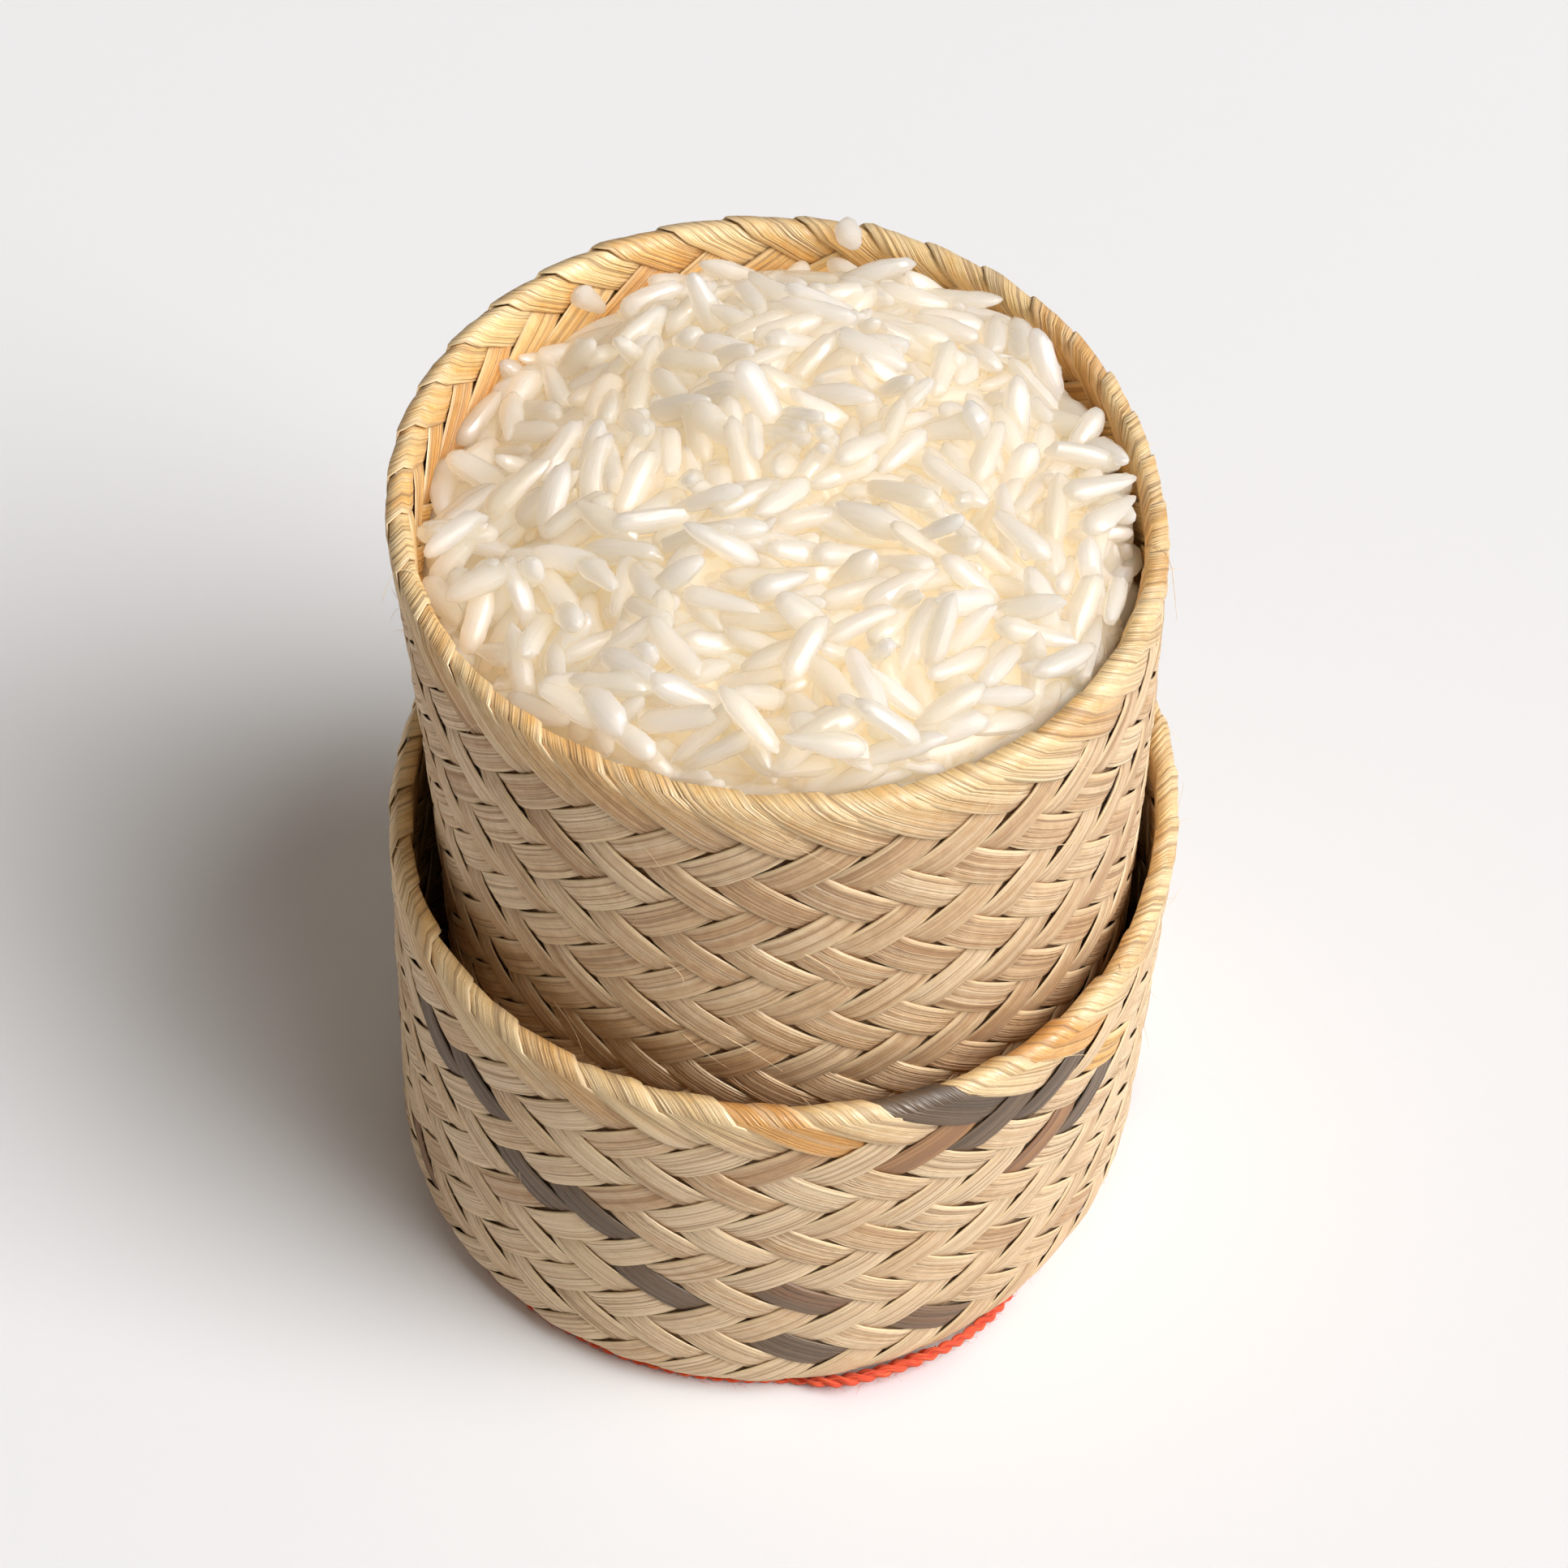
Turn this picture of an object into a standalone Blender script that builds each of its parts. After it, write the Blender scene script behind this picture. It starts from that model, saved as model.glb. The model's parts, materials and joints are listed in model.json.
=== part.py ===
"""Sticky rice basket: a small plaited bamboo basket of cooked rice, standing in its own lid.

The basket and the lid are made the same way. Thin bamboo strips are plaited on the slant into
a tube twice as long as the wall. Half of it is folded inwards, so that the wall is double and
its rim is a row of leaning folds, one for each strip that turns over. A plaited disc closes
the foot: the outer leaf is turned in under its edge, the inner leaf stands on it, and a yarn is
sewn round the corner. The lid stands upside down, and the basket stands in it.

Metres, +Z up. The origin is on the table, under the middle of the whole object.
"""

import math
from dataclasses import dataclass

import bmesh
import bpy
from mathutils import Vector

MM = 0.001

# The plaited leaf. Two strips cross everywhere, so a leaf is two strips thick.
LEAF = 1.0 * MM
LEAF_GAP = 0.35 * MM
WALL = 2 * LEAF + LEAF_GAP
STRIPS_EACH_WAY = 36
STRIP_SLANT = math.radians(36)

# The folds of the rim, which lean the way their strips run.
FOLD_RADIUS = WALL / 2
FOLD_RELIEF = 0.6 * MM
FOLD_REACH = 5.5 * MM
STEPS_TO_A_FOLD = 2

# The foot. Pieces that touch keep SEAT between them.
SEAT = 0.3 * MM
CORNER_RADIUS = 5.0 * MM
HEM_WIDTH = 4.0 * MM
DISC_THICKNESS = 1.2 * MM
YARN = 1.5 * MM
YARN_ABOVE_FOOT = 0.15 * MM
YARN_START = math.radians(-64)
YARN_OVERLAP = math.radians(22)
YARN_CLIMB = math.radians(9)

# The basket.
BASKET_HEIGHT = 95.6 * MM
BASKET_RIM_RADIUS = 42.0 * MM
BASKET_FOOT_RADIUS = 38.8 * MM

# The lid, which has to go over the basket's mouth and hold its foot.
LID_HEIGHT = 56.7 * MM
LID_FIT_AT_RIM = 2.5 * MM
LID_FIT_AT_FOOT = 3.5 * MM

# The rice. It fills the basket and is heaped. Its edge dips to the left, and a little at both
# sides, below the front and back.
RICE_GAP = 1.1 * MM
RICE_CROWN = 2.5 * MM
RICE_EDGE_DROP = 5.6 * MM
RICE_DIP = 3.3 * MM
RICE_DIP_ANGLE = math.radians(148)
RICE_SIDES_DIP = 2.5 * MM
RICE_FOOT_ROUNDING = 3.0 * MM
RICE_LUMP = 0.7 * MM
RICE_LUMP_SPACING = 15.0 * MM
GRAIN_LENGTH = 8.2 * MM
GRAIN_WIDTH = 2.7 * MM
STRAY_GRAIN_ANGLE = math.radians(79)
STRAY_GRAIN_TILT = math.radians(40)
# Subdivision draws the grain in to this share of its cage.
DRAWN_IN = 0.84

BAMBOO = (0.62, 0.47, 0.28)
BAMBOO_SKIN = (0.68, 0.50, 0.25)
RED_YARN = (0.78, 0.09, 0.02)
COOKED_RICE = (0.86, 0.83, 0.70)


def yarn_reach():
    """How far the yarn stands out from a wall, where it lies in the recess of the round corner."""
    to_yarn = CORNER_RADIUS + SEAT + YARN / 2
    below = CORNER_RADIUS - YARN_ABOVE_FOOT - YARN / 2
    return math.sqrt(to_yarn**2 - below**2) - CORNER_RADIUS + YARN / 2


def stray_grain_seat():
    """How far out and up the stray grain's middle lies from the middle of the rim's fold."""
    off_the_fold = FOLD_RADIUS + SEAT + DRAWN_IN * GRAIN_WIDTH / 2
    return off_the_fold * math.sin(STRAY_GRAIN_TILT), off_the_fold * math.cos(STRAY_GRAIN_TILT)


@dataclass(frozen=True)
class Tube:
    """One plaited tube, the lid's or the basket's, in its own frame: the foot is at height 0."""

    name: str
    height: float
    foot_radius: float
    rim_radius: float
    # Where the middle of its foot stands.
    stands: Vector
    # How far the middle of the rim is from straight above that, and the bow half way up,
    # which the wall follows in so many straight stretches.
    rim_drift: Vector
    bow: Vector
    stretches: int
    # Waves round the tube as (how many, share of the radius, angle of a crest).
    foot_waves: tuple
    rim_waves: tuple

    def outside(self, height):
        """The mean radius of the outer face."""
        return self.foot_radius + (self.rim_radius - self.foot_radius) * height / self.height

    def out_of_round(self, angle, height):
        """The radius at an angle, as a share of the mean radius."""
        up = min(1.0, max(0.0, height / self.height))
        share = 1.0
        for weight, waves in ((1 - up, self.foot_waves), (up, self.rim_waves)):
            for count, size, crest in waves:
                share += weight * size * math.cos(count * (angle - math.radians(crest)))
        return share

    def point(self, radius, angle, height):
        """The place of a point of the round tube on the real, slightly crushed one."""
        up = height / self.height
        middle = self.rim_drift * up + self.bow * (4 * up * (1 - up))
        radius *= self.out_of_round(angle, height)
        x = middle.x + radius * math.cos(angle)
        y = middle.y + radius * math.sin(angle)
        return Vector((x, y, height))


def plaited_tubes():
    """The lid and the basket, moved so that the whole object's outline is centred on the origin."""
    lid_floor = LEAF + SEAT + DISC_THICKNESS
    basket_foot = lid_floor + SEAT
    at_lid_rim = (LID_HEIGHT - basket_foot) / BASKET_HEIGHT
    grows = BASKET_RIM_RADIUS - BASKET_FOOT_RADIUS
    lid = Tube(
        name="lid",
        height=LID_HEIGHT,
        foot_radius=BASKET_FOOT_RADIUS + yarn_reach() + LID_FIT_AT_FOOT + WALL,
        rim_radius=BASKET_FOOT_RADIUS + grows * at_lid_rim + LID_FIT_AT_RIM + WALL,
        stands=Vector((0, 0, 0)),
        rim_drift=Vector((1.8, -1.5, 0)) * MM,
        bow=Vector((0, 0, 0)),
        stretches=1,
        foot_waves=((2, 0.022, 56), (3, 0.010, 40)),
        rim_waves=((2, 0.036, 90), (4, 0.008, 37)),
    )
    basket = Tube(
        name="basket",
        height=BASKET_HEIGHT,
        foot_radius=BASKET_FOOT_RADIUS,
        rim_radius=BASKET_RIM_RADIUS,
        stands=Vector((0.5 * MM, 0.1 * MM, basket_foot)),
        rim_drift=Vector((0.4, 1.0, 0)) * MM,
        bow=Vector((1.2, -0.4, 0)) * MM,
        stretches=4,
        foot_waves=((2, 0.015, -78),),
        rim_waves=((2, 0.055, -78), (3, 0.007, -45)),
    )
    outline = []
    for step in range(72):
        angle = step * math.tau / 72
        outline.append(lid.point(lid.foot_radius + yarn_reach(), angle, 0))
        outline.append(lid.point(lid.rim_radius, angle, lid.height))
    # The stray grain's far end is the point that stands out furthest at the back.
    far = basket.rim_radius - FOLD_RADIUS + stray_grain_seat()[0]
    far += DRAWN_IN * GRAIN_LENGTH / 2 * math.cos(STRAY_GRAIN_TILT)
    outline.append(basket.stands + basket.point(far, STRAY_GRAIN_ANGLE, basket.height))
    lows = [min(point[axis] for point in outline) for axis in (0, 1)]
    highs = [max(point[axis] for point in outline) for axis in (0, 1)]
    middle = Vector(((lows[0] + highs[0]) / 2, (lows[1] + highs[1]) / 2, 0))
    for tube in (lid, basket):
        tube.stands.xyz = tube.stands - middle
    return lid, basket


def clear_scene():
    for obj in list(bpy.data.objects):
        bpy.data.objects.remove(obj)


def material(name, colour, roughness):
    """A Principled material with one colour."""
    made = bpy.data.materials.new(name)
    made.use_nodes = True
    shader = made.node_tree.nodes["Principled BSDF"]
    shader.inputs["Base Color"].default_value = (*colour, 1)
    shader.inputs["Roughness"].default_value = roughness
    shader.inputs["Metallic"].default_value = 0
    made.diffuse_color = (*colour, 1)
    return made


def axis_empty(name, place, parent):
    """An empty on the axis that pieces are lifted along, placed from its parent."""
    empty = bpy.data.objects.new(name, None)
    empty.empty_display_size = 10 * MM
    empty.location = place
    empty.parent = parent
    parts.objects.link(empty)
    return empty


def turned(name, section, steps, closed, parent, finish):
    """A piece turned round its axis from a section of (radius, height) points."""
    mesh = bpy.data.meshes.new(name)
    edges = [(i, i + 1) for i in range(len(section) - 1)]
    if closed:
        edges.append((len(section) - 1, 0))
    mesh.from_pydata([(radius, 0, height) for radius, height in section], edges, [])
    piece = bpy.data.objects.new(name, mesh)
    piece.parent = parent
    parts.objects.link(piece)
    turn = piece.modifiers.new("Turn", "SCREW")
    turn.steps = turn.render_steps = steps
    turn.use_merge_vertices = True
    turn.merge_threshold = 0.01 * MM
    graph = bpy.context.evaluated_depsgraph_get()
    round_mesh = bpy.data.meshes.new_from_object(piece.evaluated_get(graph))
    piece.modifiers.clear()
    piece.data = round_mesh
    bpy.data.meshes.remove(mesh)
    round_mesh.name = name
    round_mesh.materials.append(finish)
    return piece


def shape_vertices(piece, moved):
    """Moves each vertex by a function of its radius, angle and height, and faces them all out."""
    mesh = piece.data
    for vertex in mesh.vertices:
        radius = math.hypot(vertex.co.x, vertex.co.y)
        angle = math.atan2(vertex.co.y, vertex.co.x)
        vertex.co = moved(radius, angle, vertex.co.z)
    facing = bmesh.new()
    facing.from_mesh(mesh)
    bmesh.ops.recalc_face_normals(facing, faces=facing.faces)
    facing.to_mesh(mesh)
    facing.free()
    mesh.shade_smooth()
    mesh.set_sharp_from_angle(angle=math.radians(50))


def arc(middle, radius, first, last, pieces):
    """Points on an arc in the section plane, its angles in degrees from straight outwards."""
    points = []
    for i in range(pieces + 1):
        angle = math.radians(first + (last - first) * i / pieces)
        points.append((middle[0] + radius * math.cos(angle), middle[1] + radius * math.sin(angle)))
    return points


def wall_section(tube):
    """The section of the double wall, as (radius, height), down the outside and up the inside.

    The leaf runs from the hem under the disc, round the corner, up the outside, over the rim
    and down the inside to the top of the disc. The two leaves are joined at the rim alone.
    """
    crest = tube.height - FOLD_RADIUS
    corner = (tube.outside(CORNER_RADIUS) - CORNER_RADIUS, CORNER_RADIUS)
    hem_end = corner[0] - HEM_WIDTH
    inner_foot = LEAF + SEAT + DISC_THICKNESS + SEAT
    # The foot of the inner leaf is pared round, so that it stands clear of the outer leaf's corner.
    pared = CORNER_RADIUS - LEAF - LEAF_GAP
    foot_tilt = math.degrees(math.asin((inner_foot - CORNER_RADIUS) / pared))
    fade = [crest - FOLD_REACH * part for part in (0.35, 0.8)]
    low = max(CORNER_RADIUS, inner_foot)
    between = [low + (fade[1] - low) * i / tube.stretches for i in range(1, tube.stretches)]

    def outer_face(height):
        return tube.outside(height), height

    def inner_face(height):
        return tube.outside(height) - WALL, height

    def slot(side, height):
        return tube.outside(height) - FOLD_RADIUS + side * LEAF_GAP / 2, height

    section = arc((tube.outside(crest) - FOLD_RADIUS, crest), FOLD_RADIUS, 180, 0, 4)
    section += [outer_face(height) for height in fade + between[::-1]]
    section += arc(corner, CORNER_RADIUS, 0, -90, 3)
    section += [(hem_end, 0), (hem_end, LEAF)]
    section += arc(corner, CORNER_RADIUS - LEAF, -90, 0, 3)
    section += [slot(1, height) for height in between + [crest]]
    section += [slot(-1, height) for height in [crest] + between[::-1]]
    section += arc(corner, pared, 0, foot_tilt, 2)
    section += [inner_face(height) for height in [inner_foot] + between + fade[::-1]]
    return section


def plaited_wall(tube, parent, finish):
    """The tube folded double. Each strip that turns over the rim leaves one leaning fold."""
    crest = tube.height - FOLD_RADIUS
    strip_spacing = math.tau * tube.rim_radius / STRIPS_EACH_WAY

    def moved(radius, angle, height):
        inwards = tube.outside(height) - FOLD_RADIUS - radius
        above = max(0.0, height - crest)
        from_fold = math.hypot(inwards, above)
        place = tube.point(radius, angle, height)
        if from_fold < 0.9 * FOLD_RADIUS:
            return place
        over = FOLD_RADIUS * math.atan2(-inwards, above)
        over += math.copysign(max(0.0, crest - height), -inwards)
        if abs(over) > FOLD_REACH:
            return place
        turns = STRIPS_EACH_WAY * angle / math.tau
        phase = turns - over / math.tan(STRIP_SLANT) / strip_spacing
        raised = FOLD_RELIEF * (phase - math.floor(phase) - 0.5) * (1 - abs(over) / FOLD_REACH)
        outwards = tube.point(radius + raised * -inwards / from_fold, angle, height)
        return outwards + Vector((0, 0, raised * above / from_fold))

    steps = STEPS_TO_A_FOLD * STRIPS_EACH_WAY
    wall = turned(tube.name + "_wall", wall_section(tube), steps, True, parent, finish)
    shape_vertices(wall, moved)
    return wall


def plaited_disc(tube, parent, finish):
    """The disc that closes the foot. Its edge fits the round corner of the outer leaf."""
    low = LEAF + SEAT
    high = low + DISC_THICKNESS
    corner = (tube.outside(CORNER_RADIUS) - CORNER_RADIUS, CORNER_RADIUS)
    fit = CORNER_RADIUS - LEAF - SEAT
    top = math.degrees(math.asin((high - CORNER_RADIUS) / fit))
    section = [(0, high)] + arc(corner, fit, top, -90, 3) + [(0, low)]
    steps = STEPS_TO_A_FOLD * STRIPS_EACH_WAY
    disc = turned(tube.name + "_disc", section, steps, False, parent, finish)
    shape_vertices(disc, tube.point)
    return disc


def edge_yarn(tube, parent, finish):
    """The yarn sewn round the corner, clockwise. Its end lies above its start where they overlap."""
    to_yarn = CORNER_RADIUS + SEAT + YARN / 2
    low = -math.asin((CORNER_RADIUS - YARN_ABOVE_FOOT - YARN / 2) / to_yarn)
    climb = (YARN + SEAT) / to_yarn
    corner_radius = tube.outside(CORNER_RADIUS) - CORNER_RADIUS
    length = math.tau + YARN_OVERLAP
    spacing = 2.5 * YARN / tube.foot_radius
    count = round(length / spacing)

    curve = bpy.data.curves.new(tube.name + "_edge_yarn", "CURVE")
    curve.dimensions = "3D"
    curve.bevel_depth = YARN / 2
    curve.bevel_resolution = 2
    curve.use_fill_caps = True
    strand = curve.splines.new("POLY")
    strand.points.add(count)
    for i, point in enumerate(strand.points):
        along = length * i / count
        climbed = min(1.0, max(0.0, (along - math.tau + YARN_CLIMB) / YARN_CLIMB))
        tilt = low + climb * climbed * climbed * (3 - 2 * climbed)
        radius = corner_radius + to_yarn * math.cos(tilt)
        height = CORNER_RADIUS + to_yarn * math.sin(tilt)
        point.co = (*tube.point(radius, YARN_START - along, height), 1)
    curve.materials.append(finish)
    yarn = bpy.data.objects.new(curve.name, curve)
    yarn.parent = parent
    parts.objects.link(yarn)
    return yarn


def heap(across, angle, rim):
    """The height of the rice at a share of the way from its middle to its edge."""
    drop = RICE_EDGE_DROP + RICE_DIP * math.cos(angle - RICE_DIP_ANGLE)
    drop += RICE_SIDES_DIP * math.cos(2 * angle)
    edge = across**2.2
    return rim + RICE_CROWN * (1 - edge) - drop * edge


def rice_mass(tube, parent, finish):
    """The pressed mass of rice: the basket's inside less a gap, with a heaped, lumpy top."""
    foot = LEAF + SEAT + DISC_THICKNESS + SEAT
    brim = tube.height - FOLD_RADIUS

    def side(height):
        return tube.outside(height) - WALL - RICE_GAP

    rounding = (side(foot) - RICE_FOOT_ROUNDING, foot + RICE_FOOT_ROUNDING)
    section = [(side(brim) * i / 9, brim) for i in range(10)]
    section += [(side(height), height) for height in (0.85 * brim, 0.6 * brim, 0.3 * brim)]
    section += arc(rounding, RICE_FOOT_ROUNDING, 0, -90, 3) + [(0, foot)]

    def moved(radius, angle, height):
        across = min(1.0, radius / side(height))
        place = tube.point(radius, angle, brim)
        lumps = math.sin(math.tau * place.x / RICE_LUMP_SPACING)
        lumps *= math.cos(math.tau * place.y / RICE_LUMP_SPACING)
        top = heap(across, angle, tube.height) + RICE_LUMP * lumps * (1 - across**4)
        raised = foot + (height - foot) * (top - foot) / (brim - foot)
        return tube.point(across * side(min(raised, brim)), angle, raised)

    rice = turned("rice", section, 48, False, parent, finish)
    shape_vertices(rice, moved)
    return rice


def stray_grain(tube, parent, finish):
    """One cooked grain, stuck over the back of the basket's rim, with its far end down."""
    cage = bpy.data.meshes.new("stray_grain")
    cube = bmesh.new()
    bmesh.ops.create_cube(cube, size=1)
    bmesh.ops.scale(cube, vec=(GRAIN_LENGTH, GRAIN_WIDTH, GRAIN_WIDTH), verts=cube.verts)
    cube.to_mesh(cage)
    cube.free()
    cage.shade_smooth()
    cage.materials.append(finish)
    grain = bpy.data.objects.new("stray_grain", cage)
    grain.parent = parent
    parts.objects.link(grain)
    soft = grain.modifiers.new("Soften", "SUBSURF")
    soft.levels = soft.render_levels = 2
    out, up = stray_grain_seat()
    radius = tube.outside(tube.height) - FOLD_RADIUS + out
    grain.location = tube.point(radius, STRAY_GRAIN_ANGLE, tube.height - FOLD_RADIUS + up)
    grain.rotation_euler = (0, STRAY_GRAIN_TILT, STRAY_GRAIN_ANGLE)
    return grain


def build():
    lid, basket = plaited_tubes()
    bamboo = material("plaited_bamboo", BAMBOO, 0.6)
    skin = material("bamboo_disc", BAMBOO_SKIN, 0.6)
    yarn = material("red_yarn", RED_YARN, 0.9)
    rice = material("cooked_rice", COOKED_RICE, 0.3)

    lid_stand = axis_empty("lid_stand", lid.stands, None)
    plaited_wall(lid, lid_stand, bamboo)
    plaited_disc(lid, lid_stand, skin)
    edge_yarn(lid, lid_stand, yarn)

    basket_lift = axis_empty("basket_lift", basket.stands - lid.stands, lid_stand)
    plaited_wall(basket, basket_lift, bamboo)
    plaited_disc(basket, basket_lift, skin)
    edge_yarn(basket, basket_lift, yarn)
    stray_grain(basket, basket_lift, rice)

    rice_lift = axis_empty("rice_lift", Vector(), basket_lift)
    rice_mass(basket, rice_lift, rice)


clear_scene()
parts = bpy.data.collections.new("sticky_rice_basket")
bpy.context.scene.collection.children.link(parts)
build()
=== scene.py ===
"""Looks of a small plaited basket of cooked sticky rice, standing in its own upturned lid."""

import json
import math
from dataclasses import dataclass

import bpy
import numpy as np
from mathutils import Matrix

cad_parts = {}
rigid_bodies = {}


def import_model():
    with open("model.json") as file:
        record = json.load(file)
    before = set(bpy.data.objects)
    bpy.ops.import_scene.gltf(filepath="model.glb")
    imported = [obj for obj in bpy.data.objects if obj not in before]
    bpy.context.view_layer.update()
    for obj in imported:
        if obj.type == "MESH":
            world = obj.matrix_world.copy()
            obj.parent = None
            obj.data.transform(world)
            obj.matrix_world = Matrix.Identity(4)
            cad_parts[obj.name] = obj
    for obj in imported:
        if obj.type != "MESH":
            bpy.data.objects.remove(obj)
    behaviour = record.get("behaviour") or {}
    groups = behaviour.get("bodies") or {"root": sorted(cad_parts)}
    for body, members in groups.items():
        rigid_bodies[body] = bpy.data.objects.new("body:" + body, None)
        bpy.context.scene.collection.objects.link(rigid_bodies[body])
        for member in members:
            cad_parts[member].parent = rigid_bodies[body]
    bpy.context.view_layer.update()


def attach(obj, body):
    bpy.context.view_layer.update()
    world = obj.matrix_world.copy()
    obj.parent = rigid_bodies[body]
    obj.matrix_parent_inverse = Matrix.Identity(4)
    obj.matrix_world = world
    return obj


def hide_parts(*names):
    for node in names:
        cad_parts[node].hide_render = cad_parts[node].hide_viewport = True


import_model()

MM = 0.001

# The camera. It was fitted to the outlines of both rims and of the foot: about 43 cm away,
# looking down at 48 degrees, and with a view 25 degrees wide.
PHOTO_WIDE = 1932
FOCAL_PIXELS = 4300
SENSOR = 36
camera = bpy.data.objects.new("camera", bpy.data.cameras.new("camera"))
camera.data.sensor_width = SENSOR
camera.data.lens = SENSOR * FOCAL_PIXELS / PHOTO_WIDE
camera.data.clip_start = 0.01
camera.location = (1.88 * MM, -259.19 * MM, 344.16 * MM)
camera.rotation_euler = (math.radians(90 - 48.17), 0, math.radians(0.09))
bpy.context.scene.collection.objects.link(camera)
bpy.context.scene.camera = camera
bpy.context.scene.view_settings.view_transform = "Standard"


# The lid's wall. A tube plaited from 36 strips of split bamboo each way, half of it folded
# inwards, so that the wall is double and the rim is a row of leaning folds. Each strip goes over
# two and under two of those that cross it, but over four where it turns over the rim. A few of
# the strips are dyed. The outer leaf turns in under the disc, where it ends.
STRIPS = 36
SLANT = math.radians(36)
LEAF = 1.0 * MM
WALL = 2.35 * MM
FOLD = WALL / 2
CORNER = 5.0 * MM
HEM = 4.0 * MM
# The inner leaf ends at this height, pressed in by the round corner of the outer one.
INNER_FOOT = 2.8 * MM
PRESSED_IN = 0.35 * MM
# Over the fold and round the corner: the radius of the leaf's middle, and the length of its arc.
MID_FOLD = FOLD - LEAF / 2
OVER_FOLD = MID_FOLD * math.pi / 2
MID_CORNER = CORNER - LEAF / 2
ROUND_CORNER = MID_CORNER * math.pi / 2
PLAITED_RADIUS = 42.0 * MM
STRIP_PITCH = math.tau * PLAITED_RADIUS / STRIPS
# How far round the tube a strip goes, in strips, for each metre that it comes down. Of those that
# cross it, it passes twice as many.
ROUND_PER_METRE = 1 / (math.tan(SLANT) * STRIP_PITCH)


@dataclass(frozen=True)
class Tube:
    """One folded tube, the lid's or the basket's, and the way it was crushed out of round."""

    height: float
    foot_radius: float
    rim_radius: float
    stands: tuple
    rim_drift: tuple
    bow: tuple
    foot_waves: tuple
    rim_waves: tuple
    # Where its first strip crosses the rim, in strips round from the right.
    first_strip: float
    # How pale its strips are, and how dark the painted shade is where they go under others, from 0 to 1.
    paleness: float
    shade_under_strips: float
    # How much of its room a strip fills, and how strongly its lower part is tinted golden-orange.
    fullness: float
    foot_tint: float

    def outside(self, height):
        """The outer radius before the tube was crushed."""
        return self.foot_radius + (self.rim_radius - self.foot_radius) * height / self.height

    def crushed(self, angle, up):
        """What a radius is multiplied by, up being 0 at the foot and 1 at the rim."""
        share = 1.0
        for weight, waves in ((1 - up, self.foot_waves), (up, self.rim_waves)):
            for count, size, crest in waves:
                share = share + weight * size * np.cos(count * (angle - math.radians(crest)))
        return share

    def place(self, radius, angle, height):
        """A point of the round tube, on the crushed one."""
        up = height / self.height
        share = self.crushed(angle, np.clip(up, 0, 1))
        bowed = 4 * up * (1 - up)
        x = self.stands[0] + self.rim_drift[0] * up + self.bow[0] * bowed
        y = self.stands[1] + self.rim_drift[1] * up + self.bow[1] * bowed
        x = x * MM + radius * share * np.cos(angle)
        y = y * MM + radius * share * np.sin(angle)
        return np.stack([x, y, self.stands[2] * MM + height + 0 * x], -1)

    def leaf_lengths(self):
        """How far the leaf runs from the crest of the rim: down the inside, and to the hem's end."""
        crest = self.height - FOLD
        return OVER_FOLD + crest - INNER_FOOT, OVER_FOLD + crest - CORNER + ROUND_CORNER + HEM

    def on_leaf(self, turn, down, proud):
        """A point on the leaf: turn in strips round the tube, down from the crest of the rim
        (negative on the inside), and proud of the middle of the leaf's thickness."""
        far = np.abs(down)
        side = np.where(down < 0, -1.0, 1.0)
        crest = self.height - FOLD
        below_fold = np.maximum(0, far - OVER_FOLD)
        tilt = np.maximum(0, math.pi / 2 - far / MID_FOLD)
        height = crest - below_fold + (MID_FOLD + proud) * np.sin(tilt)
        radius = self.outside(crest - below_fold) - FOLD
        radius = radius + side * (MID_FOLD + proud) * np.cos(tilt)
        pressed = np.clip((CORNER - height) / (CORNER - INNER_FOOT), 0, 1)
        radius = np.where(side < 0, radius - PRESSED_IN * pressed**2, radius)
        # The corner, then the hem.
        past_wall = below_fold - (crest - CORNER)
        turned = np.clip(past_wall / MID_CORNER, 0, math.pi / 2)
        under = np.maximum(0, past_wall - ROUND_CORNER)
        in_corner = (side > 0) & (past_wall > 0)
        reach = MID_CORNER + proud
        corner_middle = self.outside(CORNER) - CORNER
        radius = np.where(in_corner, corner_middle + reach * np.cos(turned) - under, radius)
        height = np.where(in_corner, CORNER - reach * np.sin(turned), height)
        return self.place(radius, math.tau * (turn + self.first_strip) / STRIPS, height)


def linear(colour):
    """An sRGB hex colour as linear RGBA."""
    parts = [int(colour[i:i + 2], 16) / 255 for i in (1, 3, 5)]
    return [p / 12.92 if p <= 0.04045 else ((p + 0.055) / 1.055) ** 2.4 for p in parts] + [1]


def add(tree, kind, inputs=None, **settings):
    """Adds a node. An input is a value or the socket that feeds it; stops are a ramp's colours."""
    node = tree.nodes.new(kind)
    stops = settings.pop("stops", None)
    for name, value in settings.items():
        setattr(node, name, value)
    if stops:
        ramp = node.color_ramp
        while len(ramp.elements) < len(stops):
            ramp.elements.new(0.5)
        for element, (position, colour) in zip(ramp.elements, stops):
            element.position = position
            element.color = linear(colour)
    for name, value in (inputs or {}).items():
        if isinstance(value, bpy.types.NodeSocket):
            tree.links.new(value, node.inputs[name])
        else:
            node.inputs[name].default_value = value
    return node


def new_material(name):
    """A material with a bare Principled shader, and its node tree."""
    made = bpy.data.materials.new(name)
    made.use_nodes = True
    return made, made.node_tree, made.node_tree.nodes["Principled BSDF"]


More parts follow.
